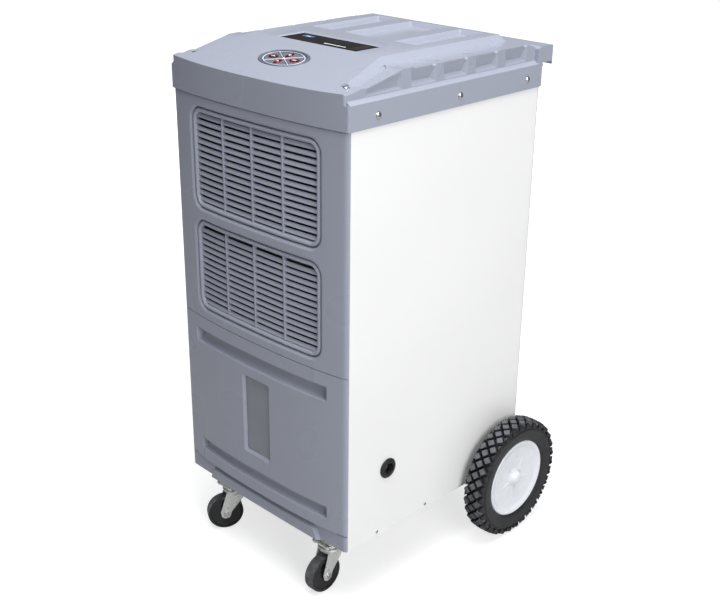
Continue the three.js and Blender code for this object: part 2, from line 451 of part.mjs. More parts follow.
// axial fan: shroud plate with its ring, motor on a spider, blades
{
  let s = prismY(rect(-200, 200, 560, 925), 226, 228, [circle(0, FAN.z, FAN.r + 8, 20)]);
  s = s.add(moved(turnedY(turned([[FAN.r + 4, -38], [FAN.r + 7, -38], [FAN.r + 8.5, 0], [FAN.r + 9.5, 2], [FAN.r + 4, 2]], 20)), 0, 226, FAN.z));
  // three spokes reaching in to the motor ring
  for (const a of [90, 210, 330]) {
    const c = Math.cos(a * Math.PI / 180), n = Math.sin(a * Math.PI / 180);
    const q = (r, w) => [r * c - w * n, FAN.z + r * n + w * c];
    s = s.add(prismY([q(40, -5), q(FAN.r + 6, -5), q(FAN.r + 6, 5), q(40, 5)], 232 - 4, 232 - 1.2));
    s = s.add(prismY([q(FAN.r + 4.5, -5), q(FAN.r + 8, -5), q(FAN.r + 8, 5), q(FAN.r + 4.5, 5)], 226, 230.8));
  }
  s = s.add(moved(turnedY(turned([[38, 0], [44, 0], [44, 2.8], [38, 2.8]], 12)), 0, 228, FAN.z));
  add('fan_shroud', s, BLACK());
  // motor body behind the hub, its shaft pointing forward
  let m = moved(turnedY(turned([[0, 0], [5, 0], [5, 26], [30, 28], [36, 34], [36, 44], [0, 44]], 12)), 0, 194, FAN.z);
  add('fan_motor', m.add(moved(turnedY(turned([[0, 0], [36, 0], [36, 10], [0, 10]], 12)), 0, 232, FAN.z)), BLACK());
  let b = moved(turnedY(turned([[5.4, 0], [30, 0], [30, 20], [5.4, 20]], 12)), 0, 197, FAN.z);
  for (let k = 0; k < 5; k++) {
    const a = k * 72 * Math.PI / 180;
    // one pitched blade in its own frame: radius along +Z, then turned about the shaft
    let blade = new THREE.BoxGeometry(68, 3, 96);
    const pos = blade.attributes.position;
    for (let i = 0; i < pos.count; i++) {
      const z = pos.getZ(i) + 48, x = pos.getX(i);
      const pitch = (z < 48 ? 34 : 20) * Math.PI / 180;
      const wide = z < 48 ? 0.62 : 1.0;
      const y = pos.getY(i);
      pos.setXYZ(i, x * wide * Math.cos(pitch) - y * Math.sin(pitch), x * wide * Math.sin(pitch) + y * Math.cos(pitch), z + 27);
    }
    const m4 = new THREE.Matrix4().makeRotationY(a);
    m4.setPosition(0, 207, FAN.z);
    b = b.add(solid(blade, m4));
  }
  b = b.subtract(moved(turnedY(turned([[0, -5], [5.4, -5], [5.4, 40], [0, 40]], 12)), 0, 190, FAN.z));
  add('fan_blades', b, mat(0x35383c, 0.6));
}
add('cord_gland', moved(turnedY(turned([[5, -8], [14, -8], [14, -0.3], [11, -0.3], [11, 2.2], [14, 2.2], [14, 8], [9, 16], [5, 16]], 8)), 150, 248, 215), BLACK());

// ---------------------------------------------------------------- axle and rear wheels
{
  const end = WHEEL.x + WHEEL.width - 2;
  add('axle_rod', moved(turnedX(turned([[0, -end], [AXLE_R, -end], [AXLE_R, end], [0, end]], 16)), 0, WHEEL.y, WHEEL.z), ZINC());
  for (const side of [1, -1]) {
    const name = side > 0 ? 'right' : 'left';
    // bracket plate standing in the tray channel, with a foot under the tray
    const x0 = side > 0 ? 204 : -209;
    let b = prismX([[WHEEL.y - 15, 108], [WHEEL.y + 15, 108], [WHEEL.y + 15, 146], [WHEEL.y - 15, 146]], x0, x0 + 5, [circle(WHEEL.y, WHEEL.z, AXLE_R + 0.5, 16)]);
    b = b.add(box(side > 0 ? 180 : -209, side > 0 ? 209 : -180, WHEEL.y - 15, WHEEL.y + 15, 142.5, 146.5));
    add(`axle_bracket_${name}`, b, ZINC());
    // wheel: pressed steel disc on a tube, solid tyre round it
    const w = WHEEL.width;
    const hub = turned([
      [AXLE_R + 0.5, 3], [13, 3], [13, 12], [62, 14], [81.2, 6], [80, 34], [81.2, w - 3.5], [70, w - 7], [30, w - 7], [13, w - 3], [AXLE_R + 0.5, w - 3],
    ], 24);
    const tyre = turned([
      [81.9, 5], [108, 1.5], [114, 0], [121, 0], [WHEEL.r, 7], [WHEEL.r, w - 7], [121, w], [114, w], [108, w - 1.5], [81.9, w - 4], [80.7, 34],
    ], 24);
    const place = (s) => moved(side > 0 ? turnedX(s) : turnedX(s).scale([-1, 1, 1]), side * WHEEL.x, WHEEL.y, WHEEL.z);
    add(`hub_${name}`, place(hub), WHITE());
    add(`tyre_${name}`, place(tyre), RUBBER());
  }
}

// ---------------------------------------------------------------- casters
for (const side of [1, -1]) {
  const name = side > 0 ? 'right' : 'left';
  const c = CASTER;
  const cx = side * c.x;
  // pressed hat bracket between the tray and the caster
  let br = prismY([[cx - 34, 130.6], [cx - 22, 107.4], [cx + 22, 107.4], [cx + 34, 130.6], [cx + 30.8, 130.6], [cx + 20, 109.6], [cx - 20, 109.6], [cx - 30.8, 130.6]], c.y - 28, c.y + 28);
  add(`caster_bracket_${name}`, br, ZINC());
  let plate = prismZ(roundedRect(cx - 22, cx + 22, c.y - 28, c.y + 28, 4, 2), c.plateZ[0], c.plateZ[1]);
  plate = plate.add(moved(turned([[0, 93], [15, 93], [19, 97], [19, 104.5], [0, 104.5]], 14), cx, c.y, 0));
  plate = plate.subtract(moved(turned([[0, 90], [5.3, 90], [5.3, 103], [0, 103]], 10), cx, c.y, 0));
  add(`caster_plate_${name}`, plate, ZINC());
  const g = new THREE.Group();
  g.position.set(cx, c.y, 0);
  g.rotation.z = (side > 0 ? c.turnRight : c.turnLeft) * Math.PI / 180;
  machine.add(g);
  // fork: crown, cup and kingpin, two tapering legs that lean forward
  const in0 = 14, in1 = 16.5;
  let f = turned([[0, 81], [22, 81], [24, 82.5], [22, 84], [18, 84.5], [17, 92], [4.8, 92], [4.8, 101], [0, 101]], 14);
  for (const x of [in0, -in1]) {
    const leg = [[-c.trail - 8.5, 38], [-c.trail - 5.5, 30], [-c.trail, 27.5], [-c.trail + 6, 30], [20, 80], [20, 84], [-22, 84]];
    f = f.add(prismX(leg, x, x + (in1 - in0), [circle(-c.trail, 37.5, 3.6, 8)]));
  }
  f = f.add(box(-in1, in1, -21, 19, 81, 84));
  add(`fork_${name}`, f, ZINC(), g);
  const bolt = turned([[0, -20.5], [6, -20.5], [6, -16.9], [3.3, -16.9], [3.3, 16.9], [6, 16.9], [6, 20.5], [0, 20.5]], 8);
  add(`caster_bolt_${name}`, moved(turnedX(bolt), 0, -c.trail, c.r), ZINC(), g);
  const wheel = turned([[3.7, -13], [9, -13], [10, -10], [32, -12], [c.r, -8], [c.r, 8], [32, 12], [10, 10], [9, 13], [3.7, 13]], 20);
  add(`caster_wheel_${name}`, moved(turnedX(wheel), 0, -c.trail, c.r), RUBBER(), g);
}

// ---------------------------------------------------------------- cover screws
for (const side of [1, -1]) {
  [['front', -188], ['mid', 17], ['rear', 208]].forEach(([where, y]) => {
    const s = turned([[0, 0.3], [6, 0.3], [5.2, 2.6], [0, 3.4]], 8);
    const placed = moved(side > 0 ? turnedX(s) : turnedX(s).scale([-1, 1, 1]), side * LID.half, y, 947.5);
    add(`screw_lid_${side > 0 ? 'right' : 'left'}_${where}`, placed, ZINC());
  });
}

export default machine;
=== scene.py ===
# Looks of the upright commercial dehumidifier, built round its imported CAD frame.
import bpy
import bmesh
import math
from mathutils import Vector, Matrix


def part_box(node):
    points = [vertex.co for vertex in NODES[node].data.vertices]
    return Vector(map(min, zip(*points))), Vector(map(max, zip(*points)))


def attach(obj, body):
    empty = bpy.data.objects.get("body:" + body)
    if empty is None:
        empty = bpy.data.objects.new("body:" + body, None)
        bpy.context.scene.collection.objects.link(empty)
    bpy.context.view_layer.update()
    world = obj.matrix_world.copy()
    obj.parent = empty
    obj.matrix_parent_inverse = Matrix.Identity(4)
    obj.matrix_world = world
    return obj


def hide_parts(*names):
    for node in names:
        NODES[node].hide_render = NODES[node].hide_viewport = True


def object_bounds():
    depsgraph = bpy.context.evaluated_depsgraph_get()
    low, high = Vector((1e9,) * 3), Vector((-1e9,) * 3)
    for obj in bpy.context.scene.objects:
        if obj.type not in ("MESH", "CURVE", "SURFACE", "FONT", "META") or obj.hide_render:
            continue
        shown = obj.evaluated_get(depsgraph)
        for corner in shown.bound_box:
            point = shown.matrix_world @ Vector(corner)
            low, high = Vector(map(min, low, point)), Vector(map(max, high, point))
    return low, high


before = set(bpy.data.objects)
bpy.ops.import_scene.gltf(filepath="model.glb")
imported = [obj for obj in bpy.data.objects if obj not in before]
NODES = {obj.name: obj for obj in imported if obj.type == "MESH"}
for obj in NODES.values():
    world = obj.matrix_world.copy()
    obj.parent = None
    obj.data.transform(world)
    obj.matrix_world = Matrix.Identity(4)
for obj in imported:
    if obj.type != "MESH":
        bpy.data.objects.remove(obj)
CAD_LO, CAD_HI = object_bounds()

# Pieces are worked out in millimetres in the cabinet's own frame, where the side panels start at y = -247.
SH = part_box("right_side_panel")[0].y * 1000.0 + 247.0
HALF_W = 227.5
FRONT, BOW, POWER = -253.0, 16.0, 2.6


def bow(x, half=HALF_W):
    """How far the bulged front stands forward of its corners at x."""
    return -BOW * (1 - min(1.0, abs(x) / half) ** POWER)


# ------------------------------------------------------------------ materials
def node(nt, kind, loc=(0, 0), **inputs):
    n = nt.nodes.new(kind)
    n.location = loc
    for k, v in inputs.items():
        key = k.replace("_", " ")
        if key in n.inputs:
            n.inputs[key].default_value = v
        else:
            setattr(n, k, v)
    return n


def material(name, color, rough=0.5, metal=0.0, bump=0.0, bump_scale=400.0, vary=0.04, vary_scale=9.0,
             rough_vary=0.06, coat=0.0, coat_rough=0.1, spec=0.5, streak=None, detail=3.0, dust=0.0,
             dust_color=(0.45, 0.44, 0.42), trans=0.0, ior=1.46, alpha=1.0, sheen=0.0, wear=0.0, wear_color=(0.8, 0.8, 0.8), grain=4.0):
    m = bpy.data.materials.new(name)
    m.use_nodes = True
    nt = m.node_tree
    nt.nodes.clear()
    out = node(nt, "ShaderNodeOutputMaterial", (900, 0))
    p = node(nt, "ShaderNodeBsdfPrincipled", (600, 0))
    nt.links.new(p.outputs["BSDF"], out.inputs["Surface"])
    tc = node(nt, "ShaderNodeTexCoord", (-900, 0))
    co = tc.outputs["Object"]
    if streak:
        mp = node(nt, "ShaderNodeMapping", (-700, 0))
        mp.inputs["Scale"].default_value = streak
        nt.links.new(co, mp.inputs["Vector"])
        vec = mp.outputs["Vector"]
    else:
        vec = co
    big = node(nt, "ShaderNodeTexNoise", (-500, 200), Scale=vary_scale, Detail=grain, Roughness=0.55)
    nt.links.new(vec, big.inputs["Vector"])
    ramp = node(nt, "ShaderNodeMapRange", (-300, 200))
    ramp.inputs["From Min"].default_value = 0.3
    ramp.inputs["From Max"].default_value = 0.7
    ramp.inputs["To Min"].default_value = 1 - vary
    ramp.inputs["To Max"].default_value = 1 + vary
    nt.links.new(big.outputs["Fac"], ramp.inputs["Value"])
    base = node(nt, "ShaderNodeRGB", (-500, 420))
    base.outputs[0].default_value = (*color, 1)
    mul = node(nt, "ShaderNodeVectorMath", (-100, 300))
    mul.operation = "SCALE"
    nt.links.new(base.outputs[0], mul.inputs[0])
    nt.links.new(ramp.outputs[0], mul.inputs["Scale"])
    col = mul.outputs[0]
    if dust > 0:
        dn = node(nt, "ShaderNodeTexNoise", (-500, 640), Scale=38.0, Detail=grain * 1.5, Roughness=0.7)
        nt.links.new(co, dn.inputs["Vector"])
        dr = node(nt, "ShaderNodeMapRange", (-300, 640))
        dr.inputs["From Min"].default_value = 0.52
        dr.inputs["From Max"].default_value = 0.8
        dr.inputs["To Max"].default_value = dust
        nt.links.new(dn.outputs["Fac"], dr.inputs["Value"])
        mix = node(nt, "ShaderNodeMix", (100, 400))
        mix.data_type = "RGBA"
        mix.inputs["B"].default_value = (*dust_color, 1)
        nt.links.new(dr.outputs[0], mix.inputs["Factor"])
        nt.links.new(col, mix.inputs["A"])
        col = mix.outputs["Result"]
    if wear > 0:
        g = node(nt, "ShaderNodeNewGeometry", (-500, 900))
        wr = node(nt, "ShaderNodeMapRange", (-300, 900))
        wr.inputs["From Min"].default_value = 0.53
        wr.inputs["From Max"].default_value = 0.62
        wr.inputs["To Max"].default_value = wear
        nt.links.new(g.outputs["Pointiness"], wr.inputs["Value"])
        mix = node(nt, "ShaderNodeMix", (300, 500))
        mix.data_type = "RGBA"
        mix.inputs["B"].default_value = (*wear_color, 1)
        nt.links.new(wr.outputs[0], mix.inputs["Factor"])
        nt.links.new(col, mix.inputs["A"])
        col = mix.outputs["Result"]
    nt.links.new(col, p.inputs["Base Color"])
    # roughness
    rn = node(nt, "ShaderNodeTexNoise", (-500, -100), Scale=vary_scale * 3.1, Detail=grain, Roughness=0.6)
    nt.links.new(vec, rn.inputs["Vector"])
    rr = node(nt, "ShaderNodeMapRange", (-300, -100))
    rr.inputs["From Min"].default_value = 0.3
    rr.inputs["From Max"].default_value = 0.7
    rr.inputs["To Min"].default_value = max(0.02, rough - rough_vary)
    rr.inputs["To Max"].default_value = min(1, rough + rough_vary)
    nt.links.new(rn.outputs["Fac"], rr.inputs["Value"])
    nt.links.new(rr.outputs[0], p.inputs["Roughness"])
    p.inputs["Metallic"].default_value = metal
    p.inputs["Specular IOR Level"].default_value = spec
    p.inputs["IOR"].default_value = ior
    p.inputs["Coat Weight"].default_value = coat
    p.inputs["Coat Roughness"].default_value = coat_rough
    p.inputs["Transmission Weight"].default_value = trans
    p.inputs["Alpha"].default_value = alpha
    p.inputs["Sheen Weight"].default_value = sheen
    if bump > 0:
        fine = node(nt, "ShaderNodeTexNoise", (-500, -400), Scale=bump_scale, Detail=detail, Roughness=0.6)
        nt.links.new(vec, fine.inputs["Vector"])
        b = node(nt, "ShaderNodeBump", (200, -300))
        b.inputs["Strength"].default_value = bump
        b.inputs["Distance"].default_value = 0.0006
        nt.links.new(fine.outputs["Fac"], b.inputs["Height"])
        nt.links.new(b.outputs["Normal"], p.inputs["Normal"])
    return m


def srgb(r, g, b):
    def f(c):
        c /= 255.0
        return c / 12.92 if c <= 0.04045 else ((c + 0.055) / 1.055) ** 2.4
    return (f(r), f(g), f(b))


MAT = {
    "grey": material("grey_satin_plastic", srgb(156, 161, 175), rough=0.28, bump=0.0, bump_scale=900, vary=0.004, vary_scale=3, rough_vary=0.01, coat=0.25, coat_rough=0.15, grain=0.0),
    "panel": material("panel_grey_plastic", srgb(100, 107, 122), rough=0.38, bump=0.0, vary=0.02, rough_vary=0.02, grain=0.0),
    "white": material("white_powder_coat", srgb(238, 238, 238), rough=0.34, bump=0.1, bump_scale=260, vary=0.012, vary_scale=4, rough_vary=0.04, coat=0.15, coat_rough=0.2, grain=0.0),
    "hubwhite": material("white_wheel_paint", srgb(228, 231, 236), rough=0.3, bump=0.05, bump_scale=180, vary=0.015, coat=0.3, coat_rough=0.12, grain=0.0),
    "zinc": material("zinc_plated_steel", srgb(228, 229, 226), rough=0.32, metal=0.7, bump=0.03, bump_scale=500, vary=0.05, vary_scale=40, rough_vary=0.06, grain=1.5),
    "galv": material("galvanised_sheet", srgb(160, 163, 165), rough=0.42, metal=1.0, bump=0.06, bump_scale=120, vary=0.16, vary_scale=45, rough_vary=0.14),
    "rubber": material("black_rubber", srgb(30, 30, 32), rough=0.62, bump=0.25, bump_scale=700, vary=0.10, dust=0.10, dust_color=(0.12, 0.12, 0.12)),
    "tyre": material("tyre_rubber", srgb(32, 32, 35), rough=0.44, bump=0.22, bump_scale=700, vary=0.10, vary_scale=24, dust=0.12, dust_color=(0.08, 0.08, 0.08)),
    # greyer rubber for the tyre block tops: partly wear, partly a painted highlight for the lit tread
    "tread_wear_and_highlight": material("tread_top_wear_and_highlight_rubber", srgb(92, 94, 100), rough=0.5, bump=0.25, bump_scale=500, vary=0.22, vary_scale=60),
    "black_paint": material("black_enamel", srgb(20, 20, 22), rough=0.3, bump=0.1, bump_scale=200, vary=0.08, coat=0.4),
    "black": material("black_moulded_plastic", srgb(26, 26, 28), rough=0.5, bump=0.3, bump_scale=900, vary=0.08),
    "copper": material("copper_tube", srgb(190, 110, 72), rough=0.3, metal=1.0, bump=0.05, vary=0.12, vary_scale=40),
    "tank": material("tank_polyethylene", srgb(222, 226, 230), rough=0.45, bump=0.2, bump_scale=300, vary=0.03, trans=0.25),
    "window": material("smoked_window", srgb(130, 135, 144), rough=0.16, bump=0.05, bump_scale=200, vary=0.04, vary_scale=14, coat=0.5, coat_rough=0.05),
    "glass": material("display_glass", srgb(15, 10, 10), rough=0.10, bump=0.01, vary=0.2, vary_scale=30, spec=0.08),
    "foam": material("float_foam", srgb(228, 222, 200), rough=0.8, bump=0.5, bump_scale=400, vary=0.05),
    "board": material("board_lacquer", srgb(38, 98, 56), rough=0.35, bump=0.1, vary=0.1, coat=0.4),
    "hose": material("soft_hose", srgb(214, 218, 214), rough=0.3, bump=0.1, vary=0.05, trans=0.3),
    "dark": material("dark_oval_print", srgb(42, 12, 12), rough=0.18, bump=0.03, vary=0.15, coat=0.6),
    "red": material("red_print", srgb(170, 40, 42), rough=0.35, bump=0.05, vary=0.06),
    "print": material("white_print", srgb(232, 236, 242), rough=0.4, bump=0.05, vary=0.02),
    "steel": material("bright_screw_steel", srgb(205, 205, 206), rough=0.22, metal=1.0, bump=0.08, bump_scale=600, vary=0.08, vary_scale=80),
    "field": material("display_field_print", srgb(44, 32, 34), rough=0.14, bump=0.01, vary=0.3, vary_scale=60, spec=0.08),
    "roller": material("caster_black_gloss", srgb(26, 26, 28), rough=0.24, bump=0.08, bump_scale=300, vary=0.08, coat=0.3, coat_rough=0.1),
    "scuffed": material("scuffed_caster_tread", srgb(84, 84, 87), rough=0.55, bump=0.3, bump_scale=500, vary=0.4, vary_scale=130, dust=1.0, dust_color=(0.46, 0.46, 0.46)),
    "blueprint": material("blue_print", srgb(74, 104, 164), rough=0.3, bump=0.03, vary=0.05),
    # painted shade: near-black colour meant to stand in for shade in gaps and slits; no piece uses it
    "shadow": material("painted_shade_backing", srgb(18, 19, 22), rough=0.7, bump=0.2, vary=0.1),
}


def fins_material():
    m = material("coil_fins", srgb(188, 192, 196), rough=0.4, metal=1.0, vary=0.08, bump=0.0)
    nt = m.node_tree
    p = next(n for n in nt.nodes if n.type == "BSDF_PRINCIPLED")
    tc = next(n for n in nt.nodes if n.type == "TEX_COORD")
    w = node(nt, "ShaderNodeTexWave", (-300, -500))
    w.wave_type = "BANDS"
    w.bands_direction = "X"
    w.inputs["Scale"].default_value = 130
    nt.links.new(tc.outputs["Object"], w.inputs["Vector"])
    b = node(nt, "ShaderNodeBump", (200, -500))
    b.inputs["Strength"].default_value = 0.9
    b.inputs["Distance"].default_value = 0.001
    nt.links.new(w.outputs["Fac"], b.inputs["Height"])
    nt.links.new(b.outputs["Normal"], p.inputs["Normal"])
    return m


MAT["fins"] = fins_material()


def filter_material():
    m = material("filter_mesh", srgb(30, 32, 36), rough=0.7, vary=0.1, bump=0.0)
    nt = m.node_tree
    p = next(n for n in nt.nodes if n.type == "BSDF_PRINCIPLED")
    tc = next(n for n in nt.nodes if n.type == "TEX_COORD")
    b = node(nt, "ShaderNodeBump", (200, -500))
    add = node(nt, "ShaderNodeMath", (0, -500))
    add.operation = "MAXIMUM"
    for k, d in enumerate(("X", "Z")):
        w = node(nt, "ShaderNodeTexWave", (-300, -500 - 200 * k))
        w.wave_type = "BANDS"
        w.bands_direction = d
        w.inputs["Scale"].default_value = 160
        nt.links.new(tc.outputs["Object"], w.inputs["Vector"])
        nt.links.new(w.outputs["Fac"], add.inputs[k])
    b.inputs["Strength"].default_value = 1.0
    b.inputs["Distance"].default_value = 0.001
    nt.links.new(add.outputs[0], b.inputs["Height"])
    nt.links.new(b.outputs["Normal"], p.inputs["Normal"])
    return m


MAT["filter"] = filter_material()


# ------------------------------------------------------------------ mesh tools (millimetres)
def new_bm():
    return bmesh.new()


def prism(points, a, b, axis="z"):
    """Outline drawn along an axis: (x, y) along z, (y, z) along x, (x, z) along y."""
    bm = bmesh.new()

    def place(p, t):
        if axis == "z":
            return (p[0], p[1], t)
        if axis == "x":
            return (t, p[0], p[1])
        return (p[0], t, p[1])
    lo = [bm.verts.new(place(p, a)) for p in points]
    hi = [bm.verts.new(place(p, b)) for p in points]
    n = len(points)
    bm.faces.new(lo)
    bm.faces.new(list(reversed(hi)))
    for i in range(n):
        j = (i + 1) % n
        bm.faces.new((lo[j], lo[i], hi[i], hi[j]))
    bmesh.ops.recalc_face_normals(bm, faces=bm.faces[:])
    return bm


def box(x0, x1, y0, y1, z0, z1):
    return prism([(x0, y0), (x1, y0), (x1, y1), (x0, y1)], z0, z1)


def hull(points):
    bm = bmesh.new()
    vs = [bm.verts.new(p) for p in points]
    bmesh.ops.convex_hull(bm, input=vs)
    loose = [v for v in bm.verts if not v.link_faces]
    bmesh.ops.delete(bm, geom=loose, context="VERTS")
    bmesh.ops.dissolve_limit(bm, angle_limit=0.002, verts=bm.verts[:], edges=bm.edges[:])
    bmesh.ops.recalc_face_normals(bm, faces=bm.faces[:])
    return bm


def turned(profile, segments=48, closed=None):
    """Turned piece about +Z from (radius, height) points; closed loop unless both ends are on the axis."""
    bm = bmesh.new()
    on_axis = profile[0][0] == 0 and profile[-1][0] == 0
    rings = []
    for r, h in profile:
        if r == 0:
            rings.append([bm.verts.new((0, 0, h))])
        else:
            rings.append([bm.verts.new((r * math.cos(2 * math.pi * k / segments), r * math.sin(2 * math.pi * k / segments), h)) for k in range(segments)])
    pairs = list(zip(rings, rings[1:]))
    if not on_axis:
        pairs.append((rings[-1], rings[0]))
    for a, b in pairs:
        for k in range(segments):
            j = (k + 1) % segments
            if len(a) == 1 and len(b) == 1:
                continue
            if len(a) == 1:
                bm.faces.new((a[0], b[k], b[j]))
            elif len(b) == 1:
                bm.faces.new((a[k], b[0], a[j]))
            else:
                bm.faces.new((a[k], b[k], b[j], a[j]))
    bmesh.ops.recalc_face_normals(bm, faces=bm.faces[:])
    return bm


def rounded_profile(points, radius=1.0, n=3, closed=True):
    """Rounds the corners of a 2-D outline. A point may carry its own radius as a third number."""
    out = []
    m = len(points)
    for i in range(m):
        p = points[i]
        r = p[2] if len(p) > 2 else radius
        if not closed and i in (0, m - 1):
            out.append((p[0], p[1]))
            continue
        a, b = Vector(points[i - 1][:2]), Vector(points[(i + 1) % m][:2])
        c = Vector(p[:2])
        da, db = (a - c), (b - c)
        la, lb = da.length, db.length
        if la < 1e-6 or lb < 1e-6 or r <= 0:
            out.append((p[0], p[1]))
            continue
        da, db = da / la, db / lb
        ang = math.acos(max(-1, min(1, da.dot(db))))
        if ang > math.pi - 0.02:
            out.append((p[0], p[1]))
            continue
        t = min(r / math.tan(ang / 2), la * 0.49, lb * 0.49)
        rr = t * math.tan(ang / 2)
        centre = c + (da + db).normalized() * (rr / math.sin(ang / 2))
        s, e = c + da * t - centre, c + db * t - centre
        a0, a1 = math.atan2(s.y, s.x), math.atan2(e.y, e.x)
        d = (a1 - a0 + math.pi) % (2 * math.pi) - math.pi
        for k in range(n + 1):
            w = a0 + d * k / n
            out.append((centre.x + rr * math.cos(w), centre.y + rr * math.sin(w)))
    return out


def rounded_rect(a0, a1, b0, b1, r, n=8):
    out = []
    for cx, cy, s in ((a1 - r, b1 - r, 0), (a0 + r, b1 - r, 1), (a0 + r, b0 + r, 2), (a1 - r, b0 + r, 3)):
        for k in range(n + 1):
            t = (s + k / n) * math.pi / 2
            out.append((cx + r * math.cos(t), cy + r * math.sin(t)))
    return out


def move(bm, x=0, y=0, z=0):
    bmesh.ops.translate(bm, vec=(x, y, z), verts=bm.verts[:])
    return bm


def spin(bm, angle, axis="Z", about=(0, 0, 0)):
    bmesh.ops.rotate(bm, cent=about, matrix=Matrix.Rotation(math.radians(angle), 3, axis), verts=bm.verts[:])
    return bm


def to_x(bm):      # +Z axis to +X
    return spin(bm, 90, "Y")


def to_y(bm):      # +Z axis to +Y
    return spin(bm, -90, "X")


def mirror_x(bm):
    for v in bm.verts:
        v.co.x = -v.co.x
    bmesh.ops.reverse_faces(bm, faces=bm.faces[:])
    return bm


def join(*bms):
    out = bms[0]
    for b in bms[1:]:
        me = bpy.data.meshes.new("t")
        b.to_mesh(me)
        out.from_mesh(me)
        bpy.data.meshes.remove(me)
        b.free()
    return out


def copy_bm(bm):
    return bm.copy()


def _obj(bm, name="t"):
    me = bpy.data.meshes.new(name)
    bm.to_mesh(me)
    o = bpy.data.objects.new(name, me)
    bpy.context.scene.collection.objects.link(o)
    return o


def boolean(a, *bs, op="DIFFERENCE", solver="MANIFOLD", keep=False):
    """a with every b cut from, joined to or crossed with it."""
    oa = _obj(a, "a")
    others = []
    for b in bs:
        ob = _obj(b, "b")
        others.append(ob)
        m = oa.modifiers.new("b", "BOOLEAN")
        m.object, m.operation, m.solver = ob, op, solver
    dg = bpy.context.evaluated_depsgraph_get()
    me = bpy.data.meshes.new_from_object(oa.evaluated_get(dg), depsgraph=dg)
    out = bmesh.new()
    out.from_mesh(me)
    bpy.data.meshes.remove(me)
    for o in [oa] + others:
        d = o.data
        bpy.data.objects.remove(o)
        bpy.data.meshes.remove(d)
    if not keep:
        for b in (a,) + bs:
            b.free()
    bmesh.ops.remove_doubles(out, verts=out.verts[:], dist=0.005)
    bmesh.ops.dissolve_limit(out, angle_limit=math.radians(0.6), verts=out.verts[:], edges=out.edges[:], delimit=set())
    return out


def bevel(bm, width, segments=3, angle=28, pick=None, profile=0.5):
    """Rounds every edge sharper than the angle, or those that pick accepts."""
    edges = []
    for e in bm.edges:
        if len(e.link_faces) == 2 and e.calc_face_angle(0) > math.radians(angle):
            if pick is None or pick((e.verts[0].co + e.verts[1].co) / 2, e):
                edges.append(e)
    if edges:
        bmesh.ops.bevel(bm, geom=edges, offset=width, offset_type="OFFSET", segments=segments, profile=profile,
                        affect="EDGES", clamp_overlap=True, miter_outer="SHARP", miter_inner="SHARP")
    return bm


def slices(bm, axis, values):
    """Cuts the faces along planes so that a later bend stays smooth."""
    no = {"x": (1, 0, 0), "y": (0, 1, 0), "z": (0, 0, 1)}[axis]
    for v in values:
        co = tuple(v * c for c in no)
        bmesh.ops.bisect_plane(bm, geom=bm.verts[:] + bm.edges[:] + bm.faces[:], plane_co=co, plane_no=no, dist=1e-4)
    return bm


def linspace(a, b, n):
    return [a + (b - a) * k / n for k in range(n + 1)]


def piece(bm, name, body, mat, replaces=(), smooth=35, weighted=True, mats=None):
    """Turns the millimetre mesh into a named piece that rides on a body."""
    me = bpy.data.meshes.new(name)
    for v in bm.verts:
        v.co = Vector((v.co.x * 0.001, (v.co.y + SH) * 0.001, v.co.z * 0.001))
    bm.normal_update()
    bm.to_mesh(me)
    bm.free()
    o = bpy.data.objects.new(name, me)
    bpy.context.scene.collection.objects.link(o)
    for p in me.polygons:
        p.use_smooth = True
    me.set_sharp_from_angle(angle=math.radians(smooth))
    me.materials.append(MAT[mat])
    for extra in (mats or []):
        me.materials.append(MAT[extra])
    if weighted:
        w = o.modifiers.new("normals", "WEIGHTED_NORMAL")
        w.keep_sharp = True
        w.weight = 60
    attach(o, body)
    if replaces:
        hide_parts(*([replaces] if isinstance(replaces, str) else replaces))
    return o


def dress(name, mat, width=0.5, segments=2, angle=30, smooth=35):
    """A carried-over CAD node: softened edges and a material."""
    o = NODES[name]
    o.data.materials.clear()
    o.data.materials.append(MAT[mat])
    for p in o.data.polygons:
        p.use_smooth = True
    o.data.set_sharp_from_angle(angle=math.radians(smooth))
    if width:
        b = o.modifiers.new("bevel", "BEVEL")
        b.width = width * 0.001
        b.segments = segments
        b.limit_method = "ANGLE"
        b.angle_limit = math.radians(angle)
        w = o.modifiers.new("normals", "WEIGHTED_NORMAL")
        w.keep_sharp = True
    return o


# ------------------------------------------------------------------ camera, light and floor
cam = bpy.data.cameras.new("camera")
cam.sensor_width = 36
cam.lens = 57.146
cam.clip_end = 60
camera = bpy.data.objects.new("camera", cam)
bpy.context.scene.collection.objects.link(camera)
az, el, roll = math.radians(44.344), math.radians(22.993), math.radians(0.67)
back = Vector((math.sin(az) * math.cos(el), -math.cos(az) * math.cos(el), math.sin(el)))
right = Vector((0, 0, 1)).cross(back).normalized()
up = back.cross(right)
r2 = right * math.cos(roll) + up * math.sin(roll)
u2 = up * math.cos(roll) - right * math.sin(roll)
rot = Matrix((r2, u2, back)).transposed()
camera.matrix_world = Matrix.Translation(Vector((1477.44, -1501.64 + SH, 1392.39)) * 0.001) @ rot.to_4x4()
bpy.context.scene.camera = camera


def area(name, loc, target, size, energy, color=(1, 1, 1), size_y=None):
    d = bpy.data.lights.new(name, "AREA")
    d.energy = energy
    d.color = color
    d.shape = "RECTANGLE"
    d.size = size
    d.size_y = size_y or size
    o = bpy.data.objects.new(name, d)
    bpy.context.scene.collection.objects.link(o)
    o.location = loc
    o.rotation_mode = "QUATERNION"
    o.rotation_quaternion = (Vector(target) - Vector(loc)).to_track_quat("-Z", "Y")
    return o


